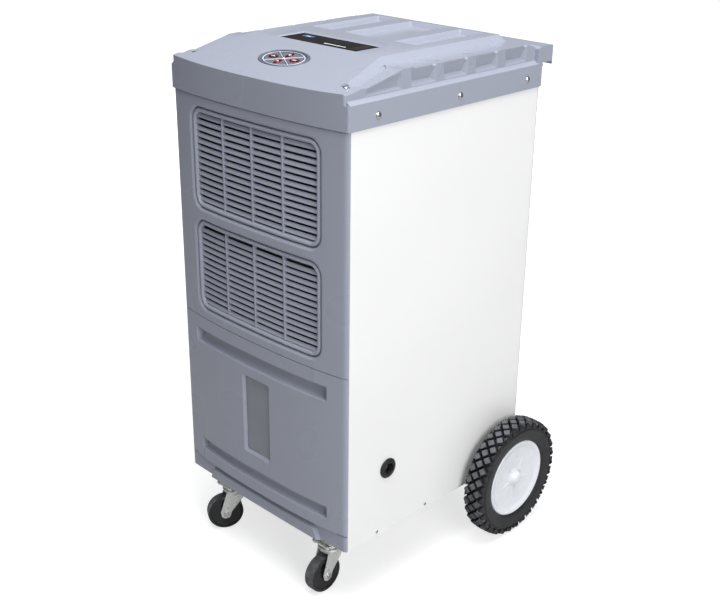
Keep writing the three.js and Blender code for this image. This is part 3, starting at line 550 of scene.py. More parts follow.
world = bpy.data.worlds.new("studio")
bpy.context.scene.world = world
world.use_nodes = True
wnt = world.node_tree
wbg = wnt.nodes["Background"]
wbg.inputs["Color"].default_value = (0.93, 0.95, 1.0, 1)
wbg.inputs["Strength"].default_value = 0.15
wwhite = node(wnt, "ShaderNodeBackground", (0, -200), Strength=1.0)
wwhite.inputs["Color"].default_value = (1, 1, 1, 1)
wmix = node(wnt, "ShaderNodeMixShader", (300, 0))
wpath = node(wnt, "ShaderNodeLightPath", (0, 300))
wnt.links.new(wpath.outputs["Is Camera Ray"], wmix.inputs[0])
wnt.links.new(wbg.outputs[0], wmix.inputs[1])
wnt.links.new(wwhite.outputs[0], wmix.inputs[2])
wnt.links.new(wmix.outputs[0], wnt.nodes["World Output"].inputs["Surface"])
bpy.context.scene.view_settings.view_transform = "Standard"
bpy.context.scene.view_settings.look = "None"
bpy.context.scene.view_settings.exposure = 0.0

floor_mat = bpy.data.materials.new("pale_floor")
floor_mat.use_nodes = True
fnt = floor_mat.node_tree
fp = fnt.nodes["Principled BSDF"]
fn = node(fnt, "ShaderNodeTexNoise", (-600, 0), Scale=1.2, Detail=3.0)
fr = node(fnt, "ShaderNodeMapRange", (-400, 0))
fr.inputs["To Min"].default_value = 0.46
fr.inputs["To Max"].default_value = 0.50
fnt.links.new(fn.outputs["Fac"], fr.inputs["Value"])
fc = node(fnt, "ShaderNodeCombineColor", (-200, 0))
for i in range(3):
    fnt.links.new(fr.outputs[0], fc.inputs[i])
fnt.links.new(fc.outputs[0], fp.inputs["Base Color"])
fp.inputs["Roughness"].default_value = 0.6
fpath = node(fnt, "ShaderNodeLightPath", (-200, -300))
femit = node(fnt, "ShaderNodeMath", (0, -300))
femit.operation = "MULTIPLY"
femit.inputs[1].default_value = 0.66
fgeo = node(fnt, "ShaderNodeNewGeometry", (-900, -500))
flen = node(fnt, "ShaderNodeVectorMath", (-700, -500))
flen.operation = "LENGTH"
fnt.links.new(fgeo.outputs["Position"], flen.inputs[0])
ffar = node(fnt, "ShaderNodeMapRange", (-500, -500))
ffar.inputs["From Min"].default_value = 0.75
ffar.inputs["From Max"].default_value = 3.0
ffar.inputs["To Min"].default_value = 0.66
ffar.inputs["To Max"].default_value = 1.0
fnt.links.new(flen.outputs["Value"], ffar.inputs["Value"])
fnt.links.new(ffar.outputs[0], femit.inputs[1])
fnt.links.new(fpath.outputs["Is Camera Ray"], femit.inputs[0])
fp.inputs["Emission Color"].default_value = (1, 1, 1, 1)
fnt.links.new(femit.outputs[0], fp.inputs["Emission Strength"])
me = bpy.data.meshes.new("floor")
fb = bmesh.new()
bmesh.ops.create_grid(fb, x_segments=2, y_segments=2, size=9.0)
fb.to_mesh(me)
fb.free()
floor = bpy.data.objects.new("floor", me)
bpy.context.scene.collection.objects.link(floor)
me.materials.append(floor_mat)
floor.location.z = CAD_LO.z

area("key_top", (0.5, -0.35, 3.6), (0, 0, 0.6), 2.4, 126, (1.0, 1.0, 1.0))
area("right_soft", (3.2, -1.0, 2.0), (0, 0, 0.5), 2.0, 84, (1, 1, 1))
area("front_left", (-2.4, -3.0, 1.4), (0, 0, 0.5), 0.5, 2.5, (0.95, 0.97, 1.0), size_y=2.4)
# fill for the sides the photo does not show, kept out of reflections
fill = area("rear_fill", (-2.8, 2.6, 1.5), (0, 0, 0.5), 2.0, 46, (1.0, 1.0, 1.0))
fill.visible_glossy = False

def soft(o, width, segments=2, angle=30, clamp=True, harden=False):
    """Real rounded edges, ahead of the normals modifier."""
    b = o.modifiers.new("bevel", "BEVEL")
    b.width = width * 0.001
    b.segments = segments
    b.limit_method = "ANGLE"
    b.angle_limit = math.radians(angle)
    b.use_clamp_overlap = clamp
    b.harden_normals = harden
    b.miter_outer = "MITER_ARC"
    n = len(o.modifiers)
    if n > 1:
        o.modifiers.move(n - 1, 0)
    return o


def bend(bm, half=HALF_W, edge=FRONT, k=1.0):
    for v in bm.verts:
        v.co.y += edge + bow(v.co.x, half) * k
    return bm


XCUTS = linspace(-216, 216, 36)


# ------------------------------------------------------------------ top cover
PZ, SZ, P0, P1, PH = 1022.0, 1009.5, -114.0, 203.0, 163.0
TAN = (PZ - 990.0) / (P0 + 256.0)
TILT = math.atan(TAN)


def slope_z(y):
    return 990.0 + (y + 256.0) * TAN


def lid_plan(half, bow_half=230.5, corner=5, extra=0.0, back=254.0, n=36, front=-255.0):
    pts = []
    h = half - corner
    for i in range(n + 1):
        x = -h + 2 * h * i / n
        pts.append((x, front + extra + bow(x, bow_half)))
    y = front + extra + bow(h, bow_half)
    arc = [(half - corner * (1 - math.cos(t)), y + corner * (1 - math.sin(t))) for t in (math.pi / 2 * (1 - k / 4) for k in range(1, 5))]
    arc = [(h + corner * math.sin(k * math.pi / 8), y + corner * (1 - math.cos(k * math.pi / 8))) for k in range(1, 5)]
    rear = [(half - 4 + 4 * math.cos(k * math.pi / 8), back - 4 + 4 * math.sin(k * math.pi / 8)) for k in range(5)]
    right = arc + rear
    return pts + right + [(-x, y) for x, y in reversed(right)]


def top_cover():
    plan_low = lid_plan(230.5)
    plan_up = lid_plan(222.0, n=36)
    skirt = prism(plan_low, 929.0, 972.0)
    ledge = prism([(-230.5, 966), (230.5, 966), (230.5, 972), (222, 978), (-222, 978), (-230.5, 972)], -253.0, 253.0, "y")
    shoulder = [(-280, 955), (-280, 985), (-250, 988), (-240, 988.5), (-217, 993.5), (-205, 992.5), (-136, 1008), (-123, 1011.5), (-98, 1011.5),
                (-93, SZ), (215, SZ), (240, 1001), (252, 1001), (252, 955)]
    sh = boolean(prism(shoulder, -222.0, 222.0, "x"), prism(plan_up, 955.0, 1040.0), op="INTERSECT")
    # bonnet: front strip and narrowing slope, both with leaning flanks, then the plateau
    def flank(top, low, drop):
        pts = [(x, y, slope_z(y) if y < P0 + 0.01 else PZ) for x, y in top]
        pts += [(x, y, (slope_z(y) if y < P0 + 0.01 else PZ) - drop) for x, y in low]
        return hull(pts)
    strip = flank([(-219, -290), (219, -290), (219, -247), (196, -236), (-196, -236), (-219, -247)],
                  [(-222, -290), (222, -290), (222, -241), (203, -231), (-203, -231), (-222, -241)], 8)
    slope = flank([(-196, -237), (196, -237), (PH, P0), (-PH, P0)], [(-206, -237), (206, -237), (PH + 14, P0), (-PH - 14, P0)], 16)
    plateau = hull([(x, y, PZ) for x in (-PH, PH) for y in (P0, P1)] + [(x * (PH + 12) / PH, y, PZ - 15) for x in (-PH, PH) for y in (P0, P1 + 9)])
    bonnet = boolean(strip, slope, plateau, op="UNION")
    bonnet = boolean(bonnet, prism(plan_up, 900.0, 1040.0), op="INTERSECT")
    handle = prism(rounded_profile([(238, 973, 0), (238, 1000, 2), (247, 1003, 3), (281, 1003, 3), (287, 998, 4), (287, 970, 3), (284, 967, 2), (281, 967, 0.5), (281, 973, 0)], 2, 4), -229.8, 229.8, "x")
    # the ends of the handle block are rounded in plan
    handle = boolean(handle, prism(rounded_rect(-229.8, 229.8, 200, 287, 7), 950, 1010), op="INTERSECT")
    s = boolean(skirt, ledge, sh, bonnet, handle, op="UNION")
    cuts = []
    cuts.append(prism([(x, min(250.8, y + 2.4 if y < -200 else y)) for x, y in lid_plan(228.0, corner=4)], 920.0, 970.5))
    cuts.append(prism([(-247, 955), (-247, 984), (-225, 987), (-128, 1004.8), (212, 1005), (234, 997), (234, 955)], -209, 209, "x"))
    cuts.append(prism(rounded_rect(-212, 212, 254.2, 282, 6), 950, 996.5))
    for side in (1, -1):
        for y0, y1 in ((-102, -43), (-19, 40), (66, 123), (149, 208)):
            # pocket: sloped floor, and a wall that leans out until it is flush with the rim
            a, b = y0, y1
            pts = [(223.5 * side, a, 978.0), (223.5 * side, b + 5, 978.0), (214.5 * side, a, 987.5), (214.5 * side, b - 7, 987.5),
                   (221.6 * side, a - 1, 1007.5), (221.6 * side, b + 3, 1007.5), (223.5 * side, a - 1, 1009.0), (223.5 * side, b + 4, 1009.0)]
            cuts.append(hull(pts))
            # diagonal nick across the shoulder, with its riser facing forward
            cuts.append(hull([(186 * side, a - 9, SZ + 1.2), (207.5 * side, a + 6.5, SZ + 1.2), (206.5 * side, a - 4, SZ + 1.2), (205.5 * side, a + 5, SZ - 3.4), (202 * side, a + 1, SZ - 3.0), (188.5 * side, a - 7.5, SZ - 0.8)]))
            # small chamfer where the crease meets the top edge
            cuts.append(hull([(222.8 * side, b - 7, SZ + 1), (222.8 * side, b + 6, SZ + 1), (217.5 * side, b - 2, SZ + 1), (217.8 * side, b + 2, SZ + 0.4), (222.8 * side, b - 6, 1003.5), (222.8 * side, b + 4, 1005.5)]))
        cuts.append(hull([(223.5 * side, -209, 978.6), (223.5 * side, -122, 978.6), (217 * side, -209, 984), (217 * side, -132, 984), (219 * side, -207, 990.5),
                          (219 * side, -130, 1005.5), (223.5 * side, -206, 991.5), (223.5 * side, -128, 1007)]))
        # long shallow recess between the bonnet's flank and the rim
        def rec(x, y, d):
            z = 993.5 + (y + 217) * (1008 - 993.5) / 81.0
            return (x * side, y, z + d)
        cuts.append(hull([rec(195, -209, 3), rec(209, -217, 3), rec(198, -150, 3), rec(191, -128, 3), rec(179, -120, 3),
                          rec(195, -209, -0.3), rec(208, -215, -3.4), rec(197, -151, -4.4), rec(190, -130, -3.8), rec(179, -121, -0.3)]))
        # seat of the corner screw
        cuts.append(move(turned([(0, -3), (7.5, -3), (8.5, 20), (0, 20)], 32), 195 * side, -228, 994.2))
    for x0, x1 in ((-133, -80), (-45, 45), (80, 133)):
        cuts.append(hull([(x, y, PZ + 1) for x in (x0 - 1, x1 + 1) for y in (7, 191)] + [(x, y, PZ - 9) for x in (x0 + 5, x1 - 5) for y in (18, 184)]))
    # the display's recess, with a bevelled border
    cuts.append(hull([(x, y, PZ + 1) for x in (-103, 103) for y in (-113, -41)] + [(x, y, PZ - 4.6) for x in (-97.6, 97.6) for y in (-107.6, -46.4)]))
    hole = turned([(0, -40), (46.5, -40), (46.5, -1.0), (47.7, 0.4), (47.7, 20), (0, 20)], 96)
    for v in hole.verts:
        v.co.x *= 1.21
        v.co.y *= 0.74
    spin(hole, math.degrees(TILT), "X")
    move(hole, 0, -185, slope_z(-185))
    cuts.append(hole)
    s = boolean(s, *cuts)


    def ends(e):
        return e.verts[0].co, e.verts[1].co

    def fascia_edge(mid, e):
        a, b = ends(e)
        return mid.y < -252 and mid.z > 984 and abs(a.z - b.z) < 2.5 and abs(a.x - b.x) > 1.0

    def long(e, n=4.0):
        a, b = ends(e)
        return (a - b).length > n

    groups = (
        (2.2, 3, 40, fascia_edge),
        (1.3, 2, 25, lambda m, e: abs(m.x) < 139 and 6 < m.y < 192 and m.z > PZ - 9.5 and long(e)),
        (1.0, 2, 25, lambda m, e: abs(m.x) < 105 and -115 < m.y < -40 and m.z > PZ - 1 and long(e)),
        (1.6, 3, 12, lambda m, e: abs(m.x) > PH - 4 and m.z > slope_z(min(m.y, P0)) - 1.2 and -235 < m.y < P1 + 2 and abs(m.x) < 205 and long(e, 12)),
        (1.2, 2, 30, lambda m, e: abs(abs(m.x) - 222) < 0.3 and m.z > 984 and long(e, 6)),
        (1.0, 2, 30, lambda m, e: abs(abs(m.x) - 230.5) < 0.3 and -252 < m.y < 252 and long(e, 20)),
        (1.0, 2, 30, lambda m, e: abs(m.z - 978) < 0.5 and long(e, 8)),
        (0.8, 2, 30, lambda m, e: abs(m.x) > 213 and 980 < m.z < 1006 and long(e, 5)),
        (0.9, 2, 30, lambda m, e: abs(m.z - 929) < 0.1 and long(e, 2)),
    )
    for width, seg, angle, pick in groups:
        bevel(s, width, seg, angle, pick)
        bmesh.ops.remove_doubles(s, verts=s.verts[:], dist=0.01)
    return s


lid = piece(top_cover(), "top_cover_shell", "root", "grey", "top_cover", smooth=32)


PAD = (1.21, 0.74)      # the pad is an oval, wider than deep


def pad(bm):
    for v in bm.verts:
        v.co.x *= PAD[0]
        v.co.y *= PAD[1]
    return bm


def on_slope(bm, y=-185.0, x=0.0):
    spin(bm, math.degrees(TILT), "X")
    return move(bm, x, y, slope_z(y))


def control_panel():
    ring = turned([(0, -5.5), (45.8, -5.5), (45.8, -0.4), (45.2, 0.4), (44.0, 0.7), (42.8, 0.3), (42.2, -1.0), (41.4, -2.3), (40.2, -2.3), (39.2, -1.0), (38.6, -0.5), (37.4, -0.9), (37.0, -2.4), (0, -2.4)], 96)
    cutters = []
    for a0, a1 in ((226, 314), (46, 134), (-44, 44), (136, 224)):
        cutters.append(prism(sector(a0, a1, 36.2, 1.1), -12, 5))
    b = boolean(ring, *cutters)
    o = piece(on_slope(pad(b)), "control_surround", "root", "panel", "control_bezel", smooth=40)
    soft(o, 0.25, 2, 30)
    # white printed lines: a ring, four arms and a short link between their ends
    lines = []
    t = turned([(36.8, -0.95), (38.0, -0.95), (38.1, -0.65), (37.9, -0.5), (36.9, -0.5), (36.7, -0.7)], 96)
    for a in (45, 135, 225, 315):
        bar = box(2.0, 37.2, -0.55, 0.55, -2.6, -0.62)
        lines.append(spin(bar, a, "Z"))
    core = turned([(0, -2.6), (2.4, -2.6), (2.4, -0.7), (2.0, -0.5), (0, -0.5)], 24)
    o = piece(on_slope(pad(join(t, core, *lines))), "control_lines", "root", "print", (), smooth=40)
    soft(o, 0.15, 1, 30)


def sector(a0, a1, r1, inset, n=20):
    rad = math.pi / 180
    shift = inset / math.sin((a1 - a0) * rad / 2)
    mid = (a0 + a1) / 2 * rad
    pts = [(shift * math.cos(mid), shift * math.sin(mid))]
    d = math.degrees(math.asin(inset / r1))
    for i in range(n + 1):
        t = (a0 + d + (a1 - a0 - 2 * d) * i / n) * rad
        pts.append((r1 * math.cos(t), r1 * math.sin(t)))
    return pts


def oval(rx, ry, z0, z1, n=40, dome=0.0):
    prof = []
    bm = turned([(0, z0), (1, z0), (1, z1 - 0.25), (0.97, z1 - 0.05), (0.9, z1 + dome * 0.3), (0.6, z1 + dome * 0.8), (0, z1 + dome)], n)
    for v in bm.verts:
        v.co.x *= rx
        v.co.y *= ry
    return bm


control_panel()
KEYS = (("front_button", "key_front", 226, 314, (0, -14.4), (6.2, 9.4)), ("rear_button", "key_rear", 46, 134, (0, 14.4), (6.4, 9.6)),
        ("left_button", "key_left", 136, 224, (-27.0, 0), (11.4, 7.2)), ("right_button", "key_right", -44, 44, (27.0, 0), (11.4, 7.2)))
for node_name, body, a0, a1, (cx, cy), (rx, ry) in KEYS:
    k = prism(rounded_profile(sector(a0, a1, 35.0, 1.8), 1.2, 3), -6.4, -1.3)
    o = piece(on_slope(pad(k)), node_name + "_cap", body, "panel", node_name, smooth=40)
    soft(o, 0.35, 2, 30)
    rim = move(oval(rx + 0.9, ry + 0.9, -1.5, -0.75), cx, cy, 0)
    o = piece(on_slope(rim), node_name + "_outline", body, "red", (), smooth=50)
    ov = move(oval(rx, ry, -1.4, -0.62, dome=0.5), cx, cy, 0)
    o = piece(on_slope(ov), node_name + "_oval", body, "dark", (), smooth=50)
    marks = []
    if body == "key_front":
        marks = [[(-3.4, -1.4), (3.4, -1.4), (0, 2.6)]]
    elif body == "key_rear":
        marks = [[(-3.8, 2.2), (0, -3.0), (3.8, 2.2)]]
    elif body == "key_left":
        marks = [[(-5.2, -0.75), (5.2, -0.75), (5.2, 0.75), (-5.2, 0.75)], [(-0.75, 0.75), (0.75, 0.75), (0.75, 2.8), (-0.75, 2.8)]]
    else:
        marks = [[(-5.2, -1.9), (5.2, -1.9), (5.2, -0.7), (-5.2, -0.7)], [(-5.2, 0.7), (5.2, 0.7), (5.2, 1.9), (-5.2, 1.9)]]
    solids = [move(prism(m, -0.8, 0.05), cx, cy, 0) for m in marks]
    o = piece(on_slope(join(*solids)), node_name + "_mark", body, "print", (), smooth=40)
    soft(o, 0.1, 1, 30)

# display: glass pane with faint printed fields under the gloss
glass = box(-96.9, 96.9, -106.9, -47.1, PZ - 4.7, PZ - 1.6)
o = piece(glass, "display_pane", "root", "glass", "display_lens")
soft(o, 0.6, 3)
fields = []
for x0, x1, y0, y1 in ((-40, -14, -97, -92), (-14, 40, -65, -60), (-14, 24, -75, -71.5), (68, 90, -98, -56)):
    fields.append(prism(rounded_rect(x0, x1, y0, y1, 1.5, 3), PZ - 1.7, PZ - 1.5))
o = piece(join(*fields), "display_fields", "root", "field", (), smooth=40)
lamp = prism(rounded_rect(-78, -50, -72, -60, 5.5, 5), PZ - 1.7, PZ - 1.5)
o = piece(lamp, "display_lamp_field", "root", "blueprint", (), smooth=40)
bars = [prism(rounded_rect(4, 58, -94, -90.8, 1.2, 3), PZ - 1.7, PZ - 1.5), prism(rounded_rect(-70, -58, -67.6, -64.4, 1.2, 3), PZ - 1.6, PZ - 1.45)]
o = piece(join(*bars), "display_bars", "root", "print", (), smooth=40)

# screws of the lid
def pan_screw(r=5.0, h=2.6, slot=True):
    head = turned([(0, -4), (r * 0.55, -4), (r * 0.55, 0), (r, 0), (r, h * 0.28), (r * 0.93, h * 0.62), (r * 0.7, h * 0.9), (r * 0.35, h), (0, h)], 40)
    a = box(-r * 0.55, r * 0.55, -0.55, 0.55, h - 1.3, h + 1)
    b = box(-0.55, 0.55, -r * 0.55, r * 0.55, h - 1.3, h + 1)
    c = boolean(head, a, b)
    return c


for side, word in ((1, "right"), (-1, "left")):
    for y, where in ((-188, "front"), (17, "mid"), (208, "rear")):
        s = spin(pan_screw(5.4, 3.0), 25 + y, "Z")
        washer = turned([(4, -1), (6.4, -1), (6.6, 0.2), (6.1, 0.6), (4, 0.6)], 40)
        s = join(s, washer)
        spin(s, 90 * side, "Y")
        move(s, 230.6 * side, y, 947.5)
        o = piece(s, f"lid_screw_{word}_{where}", "root", "steel", f"screw_lid_{word}_{where}", smooth=40)
    s = spin(pan_screw(5.0, 2.6), 40, "Z")
    spin(s, math.degrees(TILT), "X")
    move(s, 195 * side, -228, 992.2)
    piece(s, f"corner_screw_{word}", "root", "steel", (), smooth=40)


# ------------------------------------------------------------------ front pieces
def u_plan(half=227.5, depth=5.6, skin=3.0, cx=9.0, cy=5.0, n=7):
    """Plan of a front cover before it is bowed: flat skin, rounded corners and short side returns."""
    arc = [(half - cx + cx * math.sin(k * math.pi / 2 / n), cy - cy * math.cos(k * math.pi / 2 / n)) for k in range(n + 1)]
    outer = [(-half, depth)] + [(-x, y) for x, y in reversed(arc)] + arc + [(half, depth)]
    i = half - skin
    return outer + [(i, depth), (i - 1, skin + 1.4), (i - 7, skin), (-i + 7, skin), (-i + 1, skin + 1.4), (-i, depth)]


def loft(rings, closed=False):
    """Skins rings of equal length; capped, or closed on itself."""
    bm = bmesh.new()
    vs = [[bm.verts.new(p) for p in r] for r in rings]
    pairs = list(zip(vs, vs[1:]))
    if closed:
        pairs.append((vs[-1], vs[0]))
    n = len(rings[0])
    for a, b in pairs:
        for k in range(n):
            j = (k + 1) % n
            bm.faces.new((a[k], a[j], b[j], b[k]))
    if not closed:
        bm.faces.new(list(reversed(vs[0])))
        bm.faces.new(vs[-1])
    bmesh.ops.recalc_face_normals(bm, faces=bm.faces[:])
    return bm


def tube(points, radius, sides=16, steps=60):
    pts = [Vector(p) for p in points]
    def cr(i, t):
        p0 = pts[i - 1] if i > 0 else pts[0] * 2 - pts[1]
        p1, p2 = pts[i], pts[i + 1]
        p3 = pts[i + 2] if i + 2 < len(pts) else pts[-1] * 2 - pts[-2]
        v0, v1 = (p2 - p0) * 0.5, (p3 - p1) * 0.5
        return (p1 * 2 - p2 * 2 + v0 + v1) * t ** 3 + (p1 * -3 + p2 * 3 - v0 * 2 - v1) * t ** 2 + v0 * t + p1
    path = []
    n = len(pts) - 1
    for k in range(steps + 1):
        u = k / steps * n
        i = min(int(u), n - 1)
        path.append(cr(i, u - i))
    bm = bmesh.new()
    t0 = (path[1] - path[0]).normalized()
    ref = Vector((1, 0, 0)) if abs(t0.x) < 0.8 else Vector((0, 1, 0))
    nrm = t0.cross(ref).normalized()
    rings = []
    for k, p in enumerate(path):
        a, b = path[max(0, k - 1)], path[min(len(path) - 1, k + 1)]
        t = (b - a).normalized()
        nrm = (nrm - t * nrm.dot(t)).normalized()
        bi = t.cross(nrm)
        rings.append([bm.verts.new(p + (nrm * math.cos(2 * math.pi * s / sides) + bi * math.sin(2 * math.pi * s / sides)) * radius) for s in range(sides)])
    for a, b in zip(rings, rings[1:]):
        for s in range(sides):
            j = (s + 1) % sides
            bm.faces.new((a[s], a[j], b[j], b[s]))
    bm.faces.new(list(reversed(rings[0])))
    bm.faces.new(rings[-1])
    bmesh.ops.recalc_face_normals(bm, faces=bm.faces[:])
    return bm


def window_ring(z0, z1, u, y, half=176.0, r=32.0, n=10):
    """Rounded outline of a front window, moved in by u, at depth y."""
    return [(a, y, b) for a, b in rounded_rect(-half + u, half - u, z0 + u, z1 - u, max(2.0, r - u), n)]


WINDOWS = ((709, 914), (504, 699))


def front_panel():
    p = prism(u_plan(), 491.5, 927.5)
    flanges = [prism(rounded_rect(-178.5, 178.5, z0 - 2.5, z1 + 2.5, 34, 10), 0.0, 11.0, "y") for z0, z1 in WINDOWS]
    p = boolean(p, *flanges, op="UNION")
    cuts = []
    for z0, z1 in WINDOWS:
        rings = [window_ring(z0, z1, -0.25, -2.0), window_ring(z0, z1, -0.02, -0.01)]
        for k in range(1, 9):
            t = k / 8 * math.pi / 2
            rings.append(window_ring(z0, z1, 7.0 * math.sin(t), 7.0 * (1 - math.cos(t))))
        rings.append(window_ring(z0, z1, 7.1, 13.0))
        cuts.append(loft(rings))
    p = boolean(p, *cuts)
    for z in (491.5, 927.5):
        bevel(p, 1.1, 3, 50, lambda m, e, z=z: abs(m.z - z) < 0.05 and m.y < 5)
    slices(p, "x", XCUTS)
    return bend(p)


o = piece(front_panel(), "front_cover", "root", "grey", "front_panel", smooth=38)


def grille(z0, z1, first, rows):
    rings = [window_ring(z0, z1, u, y) for u, y in ((7.7, 12.0), (7.7, 8.6), (8.1, 6.0), (9.2, 3.6), (10.8, 2.0), (12.6, 1.5), (14.4, 2.1), (16.0, 3.7), (17.2, 5.6), (18.0, 7.4), (18.2, 12.0))]
    rim = loft(rings, closed=True)
    slices(rim, "x", XCUTS)
    parts = [rim]
    for r in range(rows):
        z = first + r * 12.1
        prof = rounded_profile([(4.6, z + 0.5, 0.9), (6.6, z - 0.2, 0.6), (10.0, z + 6.6, 0.6), (7.9, z + 8.2, 1.0)], 0.8, 3)
        blade = prism(prof, -159, 159, "x")
        slices(blade, "x", [c for c in XCUTS if abs(c) < 158])
        parts.append(blade)
    for x in (-79, 0, 79):
        b = box(x - 1.9, x + 1.9, 4.2, 11.5, z0 + 16, z1 - 16)
        bevel(b, 0.7, 2, 30)
        parts.append(b)
    return bend(join(*parts))


o = piece(grille(709, 914, 729.9, 14), "upper_louvres", "root", "grey", "upper_grille", smooth=38)
o = piece(grille(504, 699, 522.4, 13), "lower_louvres", "root", "grey", "lower_grille", smooth=38)


def tank_cover():
    p = prism(u_plan(), 167.0, 490.0)
    solids = [box(-188, 188, 2.0, 15.6, z0 - 4, z1 + 5) for z0, z1 in ((434, 464), (190, 216))]
    solids.append(box(-42, 42, 2.0, 6.0, 244, 419))
    p = boolean(p, *solids, op="UNION")
    cuts = []
    for z0, z1 in ((434, 464), (190, 216)):
        # scoop: the floor curves up into the back, under a flat ceiling
        curve = [(13.4 * math.sin(t) ** 0.85, z0 + (z1 - z0 - 1.0) * (1 - math.cos(t)) ** 1.25) for t in linspace(0, math.pi / 2, 16)]
        prof = [(-1.5, z0 - 0.7), (-0.5, z0 - 0.25)] + curve + [(13.4, z1 + 1.6), (2.6, z1 + 1.6), (2.6, z1), (-1.5, z1)]
        c = prism(prof, -184, 184, "x")
        # splayed ends
        ends = hull([(x, y, z) for x, y in ((-184.6, -1.5), (184.6, -1.5), (-177, 13.6), (177, 13.6)) for z in (z0 - 5, z1 + 5)])
        c = boolean(c, ends, op="INTERSECT")
        cuts.append(c)
    # reveal of the level window: its sides lean in to the pane
    def reveal(u, y):
        return [(a, y, b) for a, b in rounded_rect(-38 + u, 38 - u, 248 + u, 415 - u, 4.0, 5)]
    cuts.append(loft([reveal(-0.9, -1.0), reveal(0.0, 0.0), reveal(4.4, 5.0), reveal(4.4, 9.0)]))
    p = boolean(p, *cuts)
    for z in (167.0, 490.0):
        bevel(p, 1.1, 3, 50, lambda m, e, z=z: abs(m.z - z) < 0.05 and m.y < 5)
    for z0, z1 in ((434, 464), (190, 216)):
        bevel(p, 0.9, 2, 25, lambda m, e, z1=z1, z0=z0: z0 - 1 < m.z < z1 + 0.5 and -0.1 < m.y < 0.1 and abs(m.x) < 190)
    bevel(p, 0.6, 2, 25, lambda m, e: 246 < m.z < 417 and -0.1 < m.y < 0.1 and abs(m.x) < 40)
    slices(p, "x", XCUTS)
    return bend(p)


o = piece(tank_cover(), "tank_cover", "tank", "grey", "tank_front", smooth=40)


def level_pane():
    w = prism(rounded_rect(-36, 36, 250, 413, 3, 4), 6.1, 7.6, "y")
    bevel(w, 0.3, 1, 30)
    slices(w, "x", linspace(-30, 30, 6))
    return bend(w)


o = piece(level_pane(), "level_pane", "tank", "window", "level_window", smooth=40)


def base_skirt():
    p = prism(u_plan(), 132.0, 164.0)
    bevel(p, 0.9, 2, 30)
    # low pad along the middle, its ends slanting outward to the foot
    front = rounded_profile([(-158, 130.5, 1), (158, 130.5, 1), (147, 152.5, 11), (-147, 152.5, 11)], 1, 8)
    rear = rounded_profile([(-164, 130.5, 1), (164, 130.5, 1), (153, 159.0, 15), (-153, 159.0, 15)], 1, 8)
    lip = hull([(x, -6.4, z) for x, z in front] + [(x, 1.0, z) for x, z in rear])
    bevel(lip, 1.6, 3, 20)
    p = join(p, lip)
    slices(p, "x", XCUTS)
    return bend(p, k=3.5 / BOW)


o = piece(base_skirt(), "base_apron", "root", "grey", "base_skirt", smooth=40)


# ------------------------------------------------------------------ wheels
def tyre():
    """Tyre about +Z (outer side up), 47 wide, its mid plane at z = 0."""
    R = 126.95
    half = [(118.6, 0), (118.5, 10), (118.2, 15.0), (117.4, 18.2), (115.6, 20.2), (112.6, 21.2), (109.9, 21.5), (109.2, 22.0), (108.7, 23.0), (107.8, 23.45), (106.6, 23.4),
            (100, 22.9), (93, 21.8), (88.4, 20.6), (85.8, 19.2), (83.2, 17)]
    prof = [(r, -z) for r, z in reversed(half[1:])] + half
    base = turned(prof, 160)
    n = 32
    lugs = []
    step = 2 * math.pi / n

    def crown(z):
        return 0.012 * max(0.0, abs(z) - 8.0) ** 2

    def lug(angle, mid, half_w, half_l, tip=0.12):
        """Diamond block on the tread."""
        pts = []
        outline = [(-half_l, 0), (-half_l * tip, half_w), (half_l * tip, half_w), (half_l, 0), (half_l * tip, -half_w), (-half_l * tip, -half_w)]
        for r, k in ((117.0, 1.12), (120.0, 1.04), (R - 0.6, 0.82), (R, 0.73)):
            for s, w in outline:
                a = angle + (s * k) / 123.0
                wz = max(-22.9, min(22.9, mid + w * k))
                rr = r - (crown(wz) * (r - 117.0) / (R - 117.0))
                pts.append((rr * math.cos(a), rr * math.sin(a), wz))
        return hull(pts)

    for k in range(n):
        a = k * step
        lugs.append(lug(a, 0.0, 10.4, 10.5))
        for side in (1, -1):
            lugs.append(lug(a + step / 2, 12.6 * side, 9.7, 10.5))
            # shoulder block between two of the outer diamonds
            pts = []
            for r, z, w in ((123.0, 17.8, 0.8), (122.0, 20.8, 4.6), (118.0, 22.6, 6.2), (112.4, 22.3, 4.6), (116.0, 16.4, 1.0)):
                for s in (-w, w):
                    t = a + s / 121.0
                    pts.append((r * math.cos(t), r * math.sin(t), z * side))
            lugs.append(hull(pts))
    return join(base, *lugs)


def hub():
    """Wheel disc about +Z, outer side up."""
    prof = [(8.2, -14), (17, -14), (18, -13), (18, 7.5), (60, 9.6), (74.5, 14.2), (77.0, 12.0), (77.0, -12), (80.0, -17.8), (82.6, -17.8), (82.6, 17.2), (81.4, 18.6), (79.6, 19.0), (76.0, 18.2),
            (70.5, 15.2), (66.0, 13.6), (30, 11.6), (21, 11.8), (18.5, 13.6), (16.5, 14.2), (12.5, 14.2), (10.8, 13.4), (8.2, 13.2)]
    disc = turned(prof, 128)
    parts = [disc]
    for a in (270, 342, 54, 126, 198):
        k = 1.0 if a in (270, 342) else 0.45
        pts = []
        for r, w, h in ((13, 1.6, 12.0 + 2.6 * k), (18, 1.8, 12.0 + 3.0 * k), (46, 1.5, 11.6 + 2.2 * k), (53, 1.0, 11.8)):
            pts.append((r, 0.5, h))
            pts.append((r, -0.5, h))
            pts.append((r, w, 11.0))
            pts.append((r, -w, 11.0))
        rib = hull(pts)
        spin(rib, a, "Z")
        parts.append(rib)
    # shallow cap pressed over the end of the axle
    parts.append(turned([(0, 21.8), (8.1, 21.8), (8.1, 12.4), (21, 11.9), (19.4, 12.8), (15.6, 15.0), (12.4, 18.4), (10.2, 21.2), (8.4, 22.4), (6, 22.9), (0, 23.1)], 56))
    return join(*parts)


